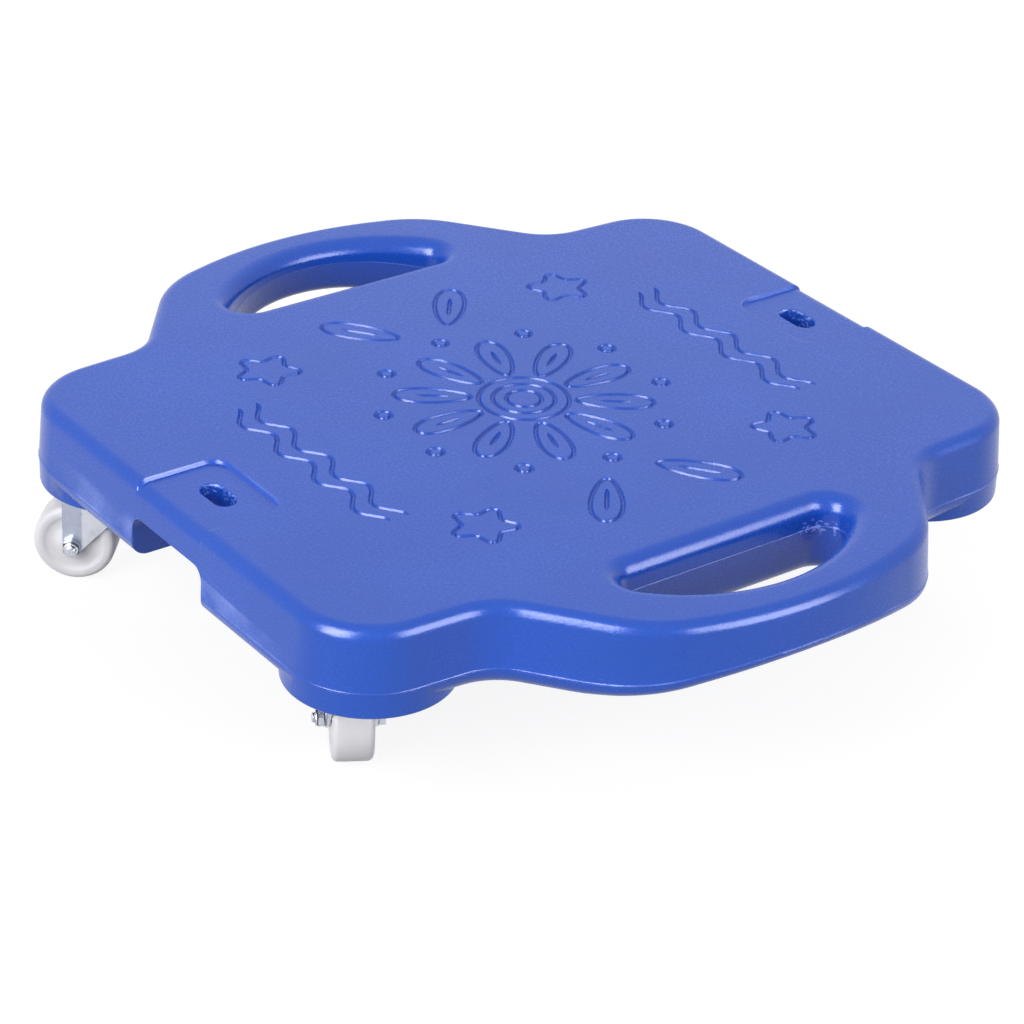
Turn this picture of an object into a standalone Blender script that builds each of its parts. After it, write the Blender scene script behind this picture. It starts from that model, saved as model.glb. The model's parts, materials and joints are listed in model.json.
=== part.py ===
"""Scooter board: a hollow moulded deck with two hand holes, riding on four swivel casters.

Metres, +Z up. The origin lies on the ground under the middle of the deck. The two handles
reach out along X, and the straight edges with the link pads face along Y.
"""
import math

import bmesh
import bpy
from mathutils import Matrix, Vector

# Clearances
SEAT_GAP = 0.0003
SIDE_GAP = 0.0010
HEAD_GAP = 0.0006

# Deck outline, measured along its parting line
DECK_LENGTH = 0.4000
DECK_REACH = 0.4424
HANDLE_BOW_RADIUS = 0.1930
HANDLE_BOW_ANGLE = 16.4
SHOULDER_HALF_WIDTH = 0.0798
SHOULDER_RADIUS = 0.0620
WAIST_HALF_WIDTH = 0.1486
WAIST_FROM_EDGE = 0.0753
WAIST_RADIUS = 0.0280
CORNER_HALF_WIDTH = 0.1445
CORNER_RADIUS = 0.0402

# Deck section, with depths counted from the top face
DECK_THICKNESS = 0.0406
DECK_WALL = 0.0030
TOP_ROUND = 0.0065
PARTING_DEPTH = 0.0309
UPPER_DRAFT = 0.0020
LOWER_ROUND = 0.0088
LOWER_DRAFT = 0.0002
HANDLE_RISE = 0.0124
HANDLE_RISE_WIDTH = 0.0662
HANDLE_RISE_RUN = 0.0430
HANDLE_RISE_HALF_SPAN = 0.0980
HANDLE_RISE_FADE = 0.0150

# Hand holes, measured at their narrow throat
HANDLE_BAR = 0.0261
HOLE_GRIP = 0.0430
HOLE_ARC_RADIUS = 0.0836
HOLE_CORNER_RADIUS = 0.0103
HOLE_RIM_ROUND = 0.0090
HOLE_THROAT_DEPTH = 0.0148
HOLE_FLARE = 0.0020
HOLE_FOOT_ROUND = 0.0090

# Link pads, slots and channels at the two straight edges
PAD_WIDTH = 0.0560
PAD_LENGTH = 0.0463
PAD_DEPTH = 0.0018
PAD_CORNER_RADIUS = 0.0090
SLOT_LENGTH = 0.0220
SLOT_WIDTH = 0.0110
SLOT_FROM_EDGE = 0.0285
CHANNEL_WIDTH = 0.0600
CHANNEL_LENGTH = 0.0500
CHANNEL_ROOF_DEPTH = 0.0180
CHANNEL_ROUND = 0.0070

# Caster bosses under the deck's corners
BOSS_DROP = 0.00315
BOSS_INSET = 0.0004
BOSS_ROUND = 0.0012
BOSS_THICKNESS = 0.0140

# Underside: the blow hole, and the kiss-offs where the lower skin is pressed up to the top one
BLOW_HOLE_RADIUS = 0.0040
BLOW_HOLE_X = 0.0450
KISS_FOOT_RADIUS = 0.0125
KISS_TIP_RADIUS = 0.0070
KISS_ROOF = 0.0050
KISS_INNER_X = 0.0450
KISS_OUTER_X = 0.1150
KISS_SPACING_Y = 0.0740

# Casters
KINGPIN_FROM_SIDE = 0.0387
KINGPIN_FROM_END = 0.0330
TRAIL = 0.0170
WHEEL_DIAMETER = 0.0400
WHEEL_WIDTH = 0.0190
WHEEL_ROUND = 0.0030
WHEEL_RIM = 0.0040
WHEEL_RECESS = 0.0009
WHEEL_HUB_RADIUS = 0.0072
BUSH_WALL = 0.0009
AXLE_RADIUS = 0.0025
AXLE_HEAD_HEIGHT = 0.0030
AXLE_END = 0.0012
HEX_ACROSS_FLATS = 0.0080
NUT_HEIGHT = 0.0040
CROWN_CLEARANCE = 0.00555
FORK_THICKNESS = 0.0015
FORK_BEND = 0.0030
FORK_EYE_RADIUS = 0.0047
FORK_SLANT = 47.0
CROWN_RADIUS = 0.0155
CROWN_SKIRT = 0.0035
CROWN_STEP = 0.0002
BALL_DIAMETER = 0.0025
BALL_CIRCLE_RADIUS = 0.0070
CUP_THICKNESS = 0.0012
KINGPIN_RADIUS = 0.0040
KINGPIN_HEAD_RADIUS = 0.0070
KINGPIN_HEAD_HEIGHT = 0.0018
KINGPIN_HEAD_CHAMFER = 0.0021
PLATE_LENGTH = 0.0520
PLATE_WIDTH = 0.0400
PLATE_THICKNESS = 0.0018
PLATE_CORNER_RADIUS = 0.0050
RACE_WALL = 0.0020
SCREW_SPACING_X = 0.0400
SCREW_SPACING_Y = 0.0280
SCREW_RADIUS = 0.0019
SCREW_LENGTH = 0.0110
SCREW_HEAD_RADIUS = 0.0036
SCREW_HEAD_HEIGHT = 0.0022
SCREW_HEAD_CHAMFER = 0.0009

# Which way each wheel trails at rest, in degrees from +X towards +Y
HEADINGS = {"front_left": 228.2, "front_right": 150.0, "back_left": 131.8, "back_right": 234.0}
SIDES = {"front_left": (-1, -1), "front_right": (1, -1), "back_left": (-1, 1), "back_right": (1, 1)}

# Facets round a full turn, and steps round each of the outline's fillets
WHEEL_FACETS = 20
BOSS_FACETS = 24
CROWN_FACETS = 16
RING_FACETS = 10
SMALL_FACETS = 8
SCREW_FACETS = 6
BALL_SIDES = 6
WHEEL_ROUND_STEPS = 2
DECK_ROUND_STEPS = 3
CAVITY_ROUND_STEPS = 1
CAVITY_DETAIL = 0.5
BOW_STEPS = 8
SHOULDER_STEPS = 4
WAIST_STEPS = 3
CORNER_STEPS = 6
HOLE_ARC_STEPS = 10
HOLE_CORNER_STEPS = 4
CHANNEL_STEPS = 4
PAD_CORNER_STEPS = 5
SLOT_END_STEPS = 5
HEEL_STEPS = 4
TOE_STEPS = 6
BEND_STEPS = 3
PLATE_CORNER_STEPS = 3
CUT_MARGIN = 0.010
WELD_DISTANCE = 0.00001

# Heights above the ground, stacked up from the wheel
AXLE_HEIGHT = WHEEL_DIAMETER / 2
CROWN_BOTTOM = WHEEL_DIAMETER + CROWN_CLEARANCE
CROWN_TOP = CROWN_BOTTOM + FORK_THICKNESS
PLATE_BOTTOM = CROWN_TOP + BALL_DIAMETER + 2 * SEAT_GAP
PLATE_TOP = PLATE_BOTTOM + PLATE_THICKNESS
BOSS_FACE = PLATE_TOP + SEAT_GAP
DECK_BOTTOM = BOSS_FACE + BOSS_DROP
DECK_TOP = DECK_BOTTOM + DECK_THICKNESS
CUP_TOP = CROWN_BOTTOM - BALL_DIAMETER - 2 * SEAT_GAP
CUP_BOTTOM = CUP_TOP - CUP_THICKNESS

# Widths shared by the fork and what it holds
FORK_INSIDE = WHEEL_WIDTH + 2 * SIDE_GAP
FORK_OUTSIDE = FORK_INSIDE + 2 * FORK_THICKNESS
BUSH_RADIUS = AXLE_RADIUS + SEAT_GAP + BUSH_WALL
HANDLE_RISE_START = DECK_REACH / 2 - HANDLE_RISE_WIDTH
HOLE_THROAT_X = DECK_REACH / 2 - HANDLE_BAR
KINGPIN_X = CORNER_HALF_WIDTH - KINGPIN_FROM_SIDE
KINGPIN_Y = DECK_LENGTH / 2 - KINGPIN_FROM_END


def clear_scene():
    """Remove every object that the scene starts with."""
    for item in list(bpy.data.objects):
        bpy.data.objects.remove(item, do_unlink=True)


def new_collection(name):
    """Add a collection to the scene."""
    collection = bpy.data.collections.new(name)
    bpy.context.scene.collection.children.link(collection)
    return collection


def new_material(name, colour, roughness, metallic=0.0):
    """Make a plain finish."""
    material = bpy.data.materials.new(name)
    material.use_nodes = True
    shader = material.node_tree.nodes["Principled BSDF"]
    shader.inputs["Base Color"].default_value = (*colour, 1.0)
    shader.inputs["Roughness"].default_value = roughness
    shader.inputs["Metallic"].default_value = metallic
    return material


def object_from(mesh, name, collection, material=None):
    """Turn a bmesh into an object of a collection."""
    data = bpy.data.meshes.new(name)
    mesh.normal_update()
    mesh.to_mesh(data)
    mesh.free()
    if material:
        data.materials.append(material)
    item = bpy.data.objects.new(name, data)
    collection.objects.link(item)
    return item


def cutter_from(mesh, name):
    """Turn a bmesh into a guide that only cuts or joins other pieces."""
    item = object_from(mesh, name, CUTTERS)
    item.hide_render = True
    item.display_type = "WIRE"
    return item


def combine(item, other, operation):
    """Add an exact Boolean of another object to an item."""
    step = item.modifiers.new(f"{operation.lower()} {other.name}", "BOOLEAN")
    step.operation = operation
    step.solver = "EXACT"
    step.object = other


def bake(item):
    """Give an object the mesh that its modifiers make."""
    bpy.context.view_layer.update()
    shown = item.evaluated_get(bpy.context.evaluated_depsgraph_get())
    data = bpy.data.meshes.new_from_object(shown)
    item.modifiers.clear()
    item.data = data
    return item


def smooth(item, angle=35.0):
    """Shade round faces smoothly and keep hard edges sharp."""
    item.data.shade_smooth()
    item.data.set_sharp_from_angle(angle=math.radians(angle))


def bore(radius, facets):
    """Radius of a faceted hole whose flats clear a shaft by the seat gap."""
    return (radius + SEAT_GAP) / math.cos(math.pi / facets)


def ease(share):
    """Ease from 0 to 1 as the share goes from 0 to 1."""
    share = min(max(share, 0.0), 1.0)
    return share * share * (3 - 2 * share)


def box(low, high):
    """A box between two corners, as a bmesh."""
    mesh = bmesh.new()
    low, high = Vector(low), Vector(high)
    place = Matrix.Translation((low + high) / 2) @ Matrix.Diagonal((*(high - low), 1.0))
    bmesh.ops.create_cube(mesh, size=1.0, matrix=place)
    return mesh


def round_edges(mesh, chosen, radius, segments):
    """Round the edges of a bmesh that a test picks out."""
    edges = [edge for edge in mesh.edges if chosen(*(vert.co for vert in edge.verts))]
    bmesh.ops.bevel(
        mesh, geom=edges, offset=radius, segments=segments, profile=0.5, affect="EDGES", clamp_overlap=True
    )


def add_cylinder(mesh, centre, radius, bottom, top, facets, top_radius=None):
    """Add an upright cylinder to a bmesh, or a cone if its top has another radius."""
    bmesh.ops.create_cone(
        mesh,
        cap_ends=True,
        segments=facets,
        radius1=radius,
        radius2=radius if top_radius is None else top_radius,
        depth=top - bottom,
        matrix=Matrix.Translation((*centre, (bottom + top) / 2)),
    )


def cylinders(places, radius, bottom, top, facets):
    """Upright cylinders of one size at several places, as a bmesh."""
    mesh = bmesh.new()
    for centre in places:
        add_cylinder(mesh, centre, radius, bottom, top, facets)
    return mesh


def turned(name, profile, facets, collection, material=None, closed=True):
    """Turn a profile of (radius, height) points about Z."""
    mesh = bmesh.new()
    verts = [mesh.verts.new((radius, 0.0, height)) for radius, height in profile]
    for first, second in zip(verts, verts[1:]):
        mesh.edges.new((first, second))
    if closed:
        mesh.edges.new((verts[-1], verts[0]))
    item = object_from(mesh, name, collection, material)
    screw = item.modifiers.new("turn", "SCREW")
    screw.axis = "Z"
    screw.angle = math.tau
    screw.steps = facets
    screw.render_steps = facets
    screw.use_merge_vertices = True
    screw.merge_threshold = WELD_DISTANCE
    return item


def rounded_outline(corners):
    """Points and outward normals round a polygon with a fillet at each corner.

    Each corner is (x, y, fillet radius, segments), and the corners run anticlockwise.
    """
    outline = []
    for index, (x, y, radius, segments) in enumerate(corners):
        corner = Vector((x, y))
        before = (Vector(corners[index - 1][:2]) - corner).normalized()
        after = (Vector(corners[(index + 1) % len(corners)][:2]) - corner).normalized()
        half = before.angle(after) / 2
        centre = corner + (before + after).normalized() * (radius / math.sin(half))
        start = corner + before * (radius / math.tan(half)) - centre
        sign = 1.0 if before.cross(after) < 0 else -1.0
        turn = sign * (math.pi - 2 * half)
        for step in range(segments + 1):
            arm = Matrix.Rotation(turn * step / segments, 2) @ start
            point = centre + arm
            if not outline or (point - outline[-1][0]).length > WELD_DISTANCE:
                outline.append((point, sign * arm.normalized()))
    if (outline[0][0] - outline[-1][0]).length <= WELD_DISTANCE:
        outline.pop()
    return outline


def mirrored(outline):
    """The same outline on the other side of the Y axis, still anticlockwise."""
    return [(Vector((-p.x, p.y)), Vector((-n.x, n.y))) for p, n in reversed(outline)]


def deck_outline(detail):
    """The deck's parting line: bowed handles, shoulders, waists and round corners."""
    bow = math.radians(HANDLE_BOW_ANGLE)
    tip_x = DECK_REACH / 2 + HANDLE_BOW_RADIUS * (1 / math.cos(bow) - 1)
    tip = Vector((tip_x, 0.0))
    shoulder = Vector((tip_x - math.tan(bow) * SHOULDER_HALF_WIDTH, SHOULDER_HALF_WIDTH))
    waist = Vector((WAIST_HALF_WIDTH, DECK_LENGTH / 2 - WAIST_FROM_EDGE))
    corner = Vector((CORNER_HALF_WIDTH, DECK_LENGTH / 2))
    half = (tip - shoulder).angle(waist - shoulder) / 2
    spare = (tip - shoulder).length - HANDLE_BOW_RADIUS * math.tan(bow)
    shoulder_radius = min(SHOULDER_RADIUS, spare * math.tan(half) - WELD_DISTANCE)
    quadrant = [
        (*shoulder, shoulder_radius, math.ceil(SHOULDER_STEPS * detail)),
        (*waist, WAIST_RADIUS, math.ceil(WAIST_STEPS * detail)),
        (*corner, CORNER_RADIUS, math.ceil(CORNER_STEPS * detail)),
    ]
    half_ring = [(tip_x, 0.0, HANDLE_BOW_RADIUS, math.ceil(BOW_STEPS * detail))] + quadrant
    half_ring += [(-x, y, radius, steps) for x, y, radius, steps in reversed(quadrant)]
    other_half = [(-x, -y, radius, steps) for x, y, radius, steps in half_ring]
    return rounded_outline(half_ring + other_half)


def hole_outline(detail):
    """The throat of the hand hole at +X: a straight inner side and a bowed outer side."""
    centre_x = HOLE_THROAT_X - HOLE_ARC_RADIUS
    inner_x = HOLE_THROAT_X - HOLE_GRIP
    turn = math.acos((inner_x + HOLE_CORNER_RADIUS - centre_x) / (HOLE_ARC_RADIUS - HOLE_CORNER_RADIUS))
    tip_x = centre_x + HOLE_ARC_RADIUS / math.cos(turn)
    corner_y = (HOLE_ARC_RADIUS - (inner_x - centre_x) * math.cos(turn)) / math.sin(turn)
    return rounded_outline(
        [
            (tip_x, 0.0, HOLE_ARC_RADIUS, math.ceil(HOLE_ARC_STEPS * detail)),
            (inner_x, corner_y, HOLE_CORNER_RADIUS, math.ceil(HOLE_CORNER_STEPS * detail)),
            (inner_x, -corner_y, HOLE_CORNER_RADIUS, math.ceil(HOLE_CORNER_STEPS * detail)),
        ]
    )


def rising_depth(depth, x, y):
    """Depth of the deck's skin at a place, where the handles' undersides sweep up outwards."""
    along = math.cos(math.pi / 2 * min(abs(y) / HANDLE_RISE_HALF_SPAN, 1.0))
    rise = HANDLE_RISE * along * ease((abs(x) - HANDLE_RISE_START) / HANDLE_RISE_RUN)
    return depth * (1 - rise / DECK_THICKNESS * ease(depth / HANDLE_RISE_FADE))


def edge_section(draft, top_round, break_depth, foot_draft, foot_round, wall, steps):
    """Points (inset, depth) down an edge: a round, a drafted wall, its break line and a round."""
    section = []
    for step in range(steps + 1):
        angle = math.radians(90) * (1 - step / steps)
        radius = top_round - wall
        section.append((draft + top_round - radius * math.cos(angle), top_round - radius * math.sin(angle)))
    section.append((wall, break_depth))
    for step in range(steps + 1):
        angle = math.radians(90) * step / steps
        radius = foot_round - wall
        foot = DECK_THICKNESS - foot_round
        section.append((foot_draft + foot_round - radius * math.cos(angle), foot + radius * math.sin(angle)))
    return section


def skin(mesh, outline, section, inwards):
    """Loft one skin of the deck through rings of an outline, and return its end loops."""
    loops = []
    for inset, depth in section:
        verts = []
        for point, normal in outline:
            place = point + normal * inset * inwards
            verts.append(mesh.verts.new((*place, DECK_TOP - rising_depth(depth, place.x, place.y))))
        loops.append([mesh.edges.new(pair) for pair in zip(verts, verts[1:] + verts[:1])])
    for upper, lower in zip(loops, loops[1:]):
        bmesh.ops.bridge_loops(mesh, edges=upper + lower)
    return loops[0], loops[-1]


def deck_form(wall, steps, detail):
    """The deck's form round both hand holes, its skin moved inwards by a wall, as a bmesh."""
    mesh = bmesh.new()
    edge = edge_section(UPPER_DRAFT, TOP_ROUND, PARTING_DEPTH, LOWER_DRAFT, LOWER_ROUND, wall, steps)
    hole = edge_section(0.0, HOLE_RIM_ROUND, HOLE_THROAT_DEPTH, HOLE_FLARE, HOLE_FOOT_ROUND, wall, steps)
    ends = [
        skin(mesh, deck_outline(detail), edge, -1),
        skin(mesh, hole_outline(detail), hole, 1),
        skin(mesh, mirrored(hole_outline(detail)), hole, 1),
    ]
    for index, facing in ((0, 1.0), (1, -1.0)):
        loops = [line for end in ends for line in end[index]]
        bmesh.ops.triangle_fill(mesh, edges=loops, use_beauty=True, normal=(0.0, 0.0, facing))
    bmesh.ops.recalc_face_normals(mesh, faces=mesh.faces)
    return mesh


def boss_centres():
    """The centres of the deck's corner rounds, which the bosses share."""
    waist = Vector((WAIST_HALF_WIDTH, DECK_LENGTH / 2 - WAIST_FROM_EDGE))
    corner = Vector((CORNER_HALF_WIDTH, DECK_LENGTH / 2))
    down = (waist - corner).normalized()
    across = Vector((-1.0, 0.0))
    centre = corner + (down + across).normalized() * CORNER_RADIUS / math.sin(down.angle(across) / 2)
    return [(x * centre.x, y * centre.y) for x, y in SIDES.values()]


def kingpin_centres():
    """Where the four swivel axes stand."""
    return {corner: (x * KINGPIN_X, y * KINGPIN_Y) for corner, (x, y) in SIDES.items()}


def screw_places(centre=(0.0, 0.0)):
    """The four mounting screws of a top plate."""
    return [
        (centre[0] + x * SCREW_SPACING_X / 2, centre[1] + y * SCREW_SPACING_Y / 2)
        for x in (-1, 1)
        for y in (-1, 1)
    ]


def edge_box(side, width, length, bottom, top):
    """A box that reaches in from the straight edge on one side and stands out past it."""
    inner, outer = DECK_LENGTH / 2 - length, DECK_LENGTH / 2 + CUT_MARGIN
    low_y, high_y = sorted((side * inner, side * outer))
    return box((-width / 2, low_y, bottom), (width / 2, high_y, top))


def kiss_offs(spread, top):
    """Cones where the kiss-offs are, grown by a spread and cut off at a height, as a bmesh."""
    slope = (KISS_FOOT_RADIUS - KISS_TIP_RADIUS) / (DECK_THICKNESS - KISS_ROOF)
    foot = KISS_FOOT_RADIUS + spread + slope * CUT_MARGIN
    tip = KISS_FOOT_RADIUS + spread - slope * (top - DECK_BOTTOM)
    mesh = bmesh.new()
    for column, rows in ((KISS_INNER_X, (-1.5, -0.5, 0.5, 1.5)), (KISS_OUTER_X, (-0.5, 0.5))):
        for row in rows:
            for x in (-column, column):
                centre = (x, row * KISS_SPACING_Y)
                add_cylinder(mesh, centre, foot, DECK_BOTTOM - CUT_MARGIN, top, SMALL_FACETS, tip)
    return mesh


def deck_cavity():
    """The hollow inside the deck, held back from the bosses, the kiss-offs and the link channels."""
    cavity = cutter_from(deck_form(DECK_WALL, CAVITY_ROUND_STEPS, CAVITY_DETAIL), "cavity")
    combine(cavity, cutter_from(kiss_offs(DECK_WALL, DECK_TOP), "cavity cones"), "DIFFERENCE")
    posts = cylinders(boss_centres(), CORNER_RADIUS, 0.0, BOSS_FACE + BOSS_THICKNESS, RING_FACETS)
    combine(cavity, cutter_from(posts, "cavity posts"), "DIFFERENCE")
    for side in (-1, 1):
        web = edge_box(side, CHANNEL_WIDTH + 2 * DECK_WALL, CHANNEL_LENGTH + DECK_WALL, 0.0, DECK_TOP)
        combine(cavity, cutter_from(web, f"cavity web {side}"), "DIFFERENCE")
    return cavity


def link_channel(side):
    """The channel under one straight edge, with its two roof corners rounded."""
    roof = DECK_TOP - CHANNEL_ROOF_DEPTH
    mesh = edge_box(side, CHANNEL_WIDTH, CHANNEL_LENGTH, 0.0, roof)

    def at_roof_side(a, b):
        return min(a.z, b.z) > roof - WELD_DISTANCE and abs(a.x - b.x) < WELD_DISTANCE

    round_edges(mesh, at_roof_side, CHANNEL_ROUND, CHANNEL_STEPS)
    return cutter_from(mesh, f"channel {side}")


def link_pad(side):
    """The recess on top at one straight edge, with its two inner corners rounded."""
    mesh = edge_box(side, PAD_WIDTH, PAD_LENGTH, DECK_TOP - PAD_DEPTH, DECK_TOP + CUT_MARGIN)
    inner = DECK_LENGTH / 2 - PAD_LENGTH + WELD_DISTANCE

    def at_inner_corner(a, b):
        return max(abs(a.y), abs(b.y)) < inner and a.x * b.x > 0

    round_edges(mesh, at_inner_corner, PAD_CORNER_RADIUS, PAD_CORNER_STEPS)
    return cutter_from(mesh, f"pad {side}")


def link_slot(side):
    """The slot with round ends that runs from one pad down into its channel."""
    centre = side * (DECK_LENGTH / 2 - SLOT_FROM_EDGE)
    low = (-SLOT_LENGTH / 2, centre - SLOT_WIDTH / 2, DECK_TOP - CHANNEL_ROOF_DEPTH - CUT_MARGIN)
    mesh = box(low, (SLOT_LENGTH / 2, centre + SLOT_WIDTH / 2, DECK_TOP + CUT_MARGIN))

    def upright(a, b):
        return abs(a.z - b.z) > WELD_DISTANCE

    round_edges(mesh, upright, SLOT_WIDTH / 2 - WELD_DISTANCE, SLOT_END_STEPS)
    return cutter_from(mesh, f"slot {side}")


def make_deck(material):
    """The moulded deck with its bosses, link pads, slots, channels and hollow."""
    deck = object_from(deck_form(0.0, DECK_ROUND_STEPS, 1.0), "deck", PARTS, material)
    top = DECK_TOP - PARTING_DEPTH + LOWER_ROUND / 2
    bosses = cylinders(boss_centres(), CORNER_RADIUS - BOSS_INSET, BOSS_FACE, top, BOSS_FACETS)
    round_edges(bosses, lambda a, b: max(a.z, b.z) < BOSS_FACE + WELD_DISTANCE, BOSS_ROUND, 1)
    combine(deck, cutter_from(bosses, "bosses"), "UNION")
    combine(deck, deck_cavity(), "DIFFERENCE")
    combine(deck, cutter_from(kiss_offs(0.0, DECK_TOP - KISS_ROOF), "kiss-offs"), "DIFFERENCE")
    for side in (-1, 1):
        combine(deck, link_channel(side), "DIFFERENCE")
        combine(deck, link_pad(side), "DIFFERENCE")
        combine(deck, link_slot(side), "DIFFERENCE")
    places = [place for centre in kingpin_centres().values() for place in screw_places(centre)]
    top = PLATE_BOTTOM + SCREW_LENGTH
    pilots = cylinders(places, bore(SCREW_RADIUS, SCREW_FACETS), 0.0, top, SCREW_FACETS)
    combine(deck, cutter_from(pilots, "pilot holes"), "DIFFERENCE")
    blow = cylinders([(BLOW_HOLE_X, 0.0)], BLOW_HOLE_RADIUS, 0.0, DECK_BOTTOM + CUT_MARGIN, SMALL_FACETS)
    combine(deck, cutter_from(blow, "blow hole"), "DIFFERENCE")
    smooth(bake(deck))


def ball_ring(name, bottom, material):
    """A ring of balls in its cage, as one turned ring."""
    middle, radius = bottom + BALL_DIAMETER / 2, BALL_DIAMETER / 2
    profile = []
    for step in range(BALL_SIDES):
        angle = math.tau * step / BALL_SIDES
        profile.append((BALL_CIRCLE_RADIUS + radius * math.sin(angle), middle + radius * math.cos(angle)))
    return turned(name, profile, RING_FACETS, PARTS, material)


def top_plate(material):
    """The plate that is screwed to the boss, with its pressed race round the upper balls."""
    corner = Vector((PLATE_LENGTH / 2, PLATE_WIDTH / 2))
    mesh = box((-corner.x, -corner.y, PLATE_BOTTOM), (corner.x, corner.y, PLATE_TOP))
    round_edges(mesh, lambda a, b: abs(a.z - b.z) > WELD_DISTANCE, PLATE_CORNER_RADIUS, PLATE_CORNER_STEPS)
    plate = object_from(mesh, "top_plate", PARTS, material)
    inner = bore(BALL_CIRCLE_RADIUS + BALL_DIAMETER / 2, RING_FACETS)
    outer, low, high = inner + RACE_WALL, CROWN_TOP + HEAD_GAP, PLATE_BOTTOM + PLATE_THICKNESS / 2
    race = turned("race", [(outer, high), (outer, low), (inner, low), (inner, high)], RING_FACETS, CUTTERS)
    race.hide_render = True
    race.display_type = "WIRE"
    combine(plate, race, "UNION")
    holes = cylinders(screw_places(), bore(SCREW_RADIUS, SCREW_FACETS), CROWN_TOP, BOSS_FACE, SCREW_FACETS)
    add_cylinder(holes, (0.0, 0.0), bore(KINGPIN_RADIUS, SMALL_FACETS), CROWN_TOP, BOSS_FACE, SMALL_FACETS)
    combine(plate, cutter_from(holes, "plate holes"), "DIFFERENCE")
    return plate


def race_cup(material):
    """The lower race: a dished ring that holds the lower balls up against the crown."""
    inner = bore(KINGPIN_RADIUS, RING_FACETS)
    wall = bore(BALL_CIRCLE_RADIUS + BALL_DIAMETER / 2, RING_FACETS)
    lip = CUP_TOP + BALL_DIAMETER / 2
    profile = [(wall, lip), (wall + CUP_THICKNESS, lip), (wall + CUP_THICKNESS, CUP_BOTTOM)]
    profile += [(inner, CUP_BOTTOM), (inner, CUP_TOP), (wall, CUP_TOP)]
    return turned("race_cup", profile, RING_FACETS, PARTS, material)


def kingpin(material):
    """The rivet on the swivel axis, from the plate's top face to its head under the cup."""
    head = CUP_BOTTOM - SEAT_GAP
    foot = head - KINGPIN_HEAD_HEIGHT
    profile = [(0.0, PLATE_TOP), (KINGPIN_RADIUS, PLATE_TOP), (KINGPIN_RADIUS, head)]
    profile += [(KINGPIN_HEAD_RADIUS, head), (KINGPIN_HEAD_RADIUS, head - KINGPIN_HEAD_HEIGHT / 2)]
    profile += [(KINGPIN_HEAD_RADIUS - KINGPIN_HEAD_CHAMFER, foot), (0.0, foot)]
    return turned("kingpin", profile, SMALL_FACETS, PARTS, material, closed=False)


def screw(material):
    """A pan-headed mounting screw, seated under the plate and reaching up into the boss."""
    head = PLATE_BOTTOM - SEAT_GAP
    tip = PLATE_BOTTOM + SCREW_LENGTH - SEAT_GAP
    foot = head - SCREW_HEAD_HEIGHT
    profile = [(0.0, tip), (SCREW_RADIUS, tip - SCREW_RADIUS), (SCREW_RADIUS, head)]
    profile += [(SCREW_HEAD_RADIUS, head), (SCREW_HEAD_RADIUS - SCREW_HEAD_CHAMFER, foot), (0.0, foot)]
    return turned("screw", profile, SCREW_FACETS, PARTS, material, closed=False)


def fork_side():
    """The fork's outline seen from the side, as a prism across it."""
    eye, slant = FORK_EYE_RADIUS, math.radians(FORK_SLANT)
    foot, top = AXLE_HEIGHT - eye, CROWN_TOP + CUT_MARGIN
    heel = TRAIL - eye * math.tan(slant / 2)
    back = heel - (top - foot) / math.tan(slant)
    corners = [(heel, foot, eye, HEEL_STEPS), (TRAIL + eye, foot, eye, TOE_STEPS)]
    corners += [(TRAIL + eye, top, eye / 2, 1), (back, top, eye / 2, 1)]
    mesh = bmesh.new()
    verts = [mesh.verts.new((point.x, -FORK_OUTSIDE, point.y)) for point, _ in rounded_outline(corners)]
    face = mesh.faces.new(verts)
    pushed = bmesh.ops.extrude_face_region(mesh, geom=[face])["geom"]
    moved = [item for item in pushed if isinstance(item, bmesh.types.BMVert)]
    bmesh.ops.translate(mesh, vec=(0.0, 2 * FORK_OUTSIDE, 0.0), verts=moved)
    bmesh.ops.recalc_face_normals(mesh, faces=mesh.faces)
    return cutter_from(mesh, "fork side")


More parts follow.
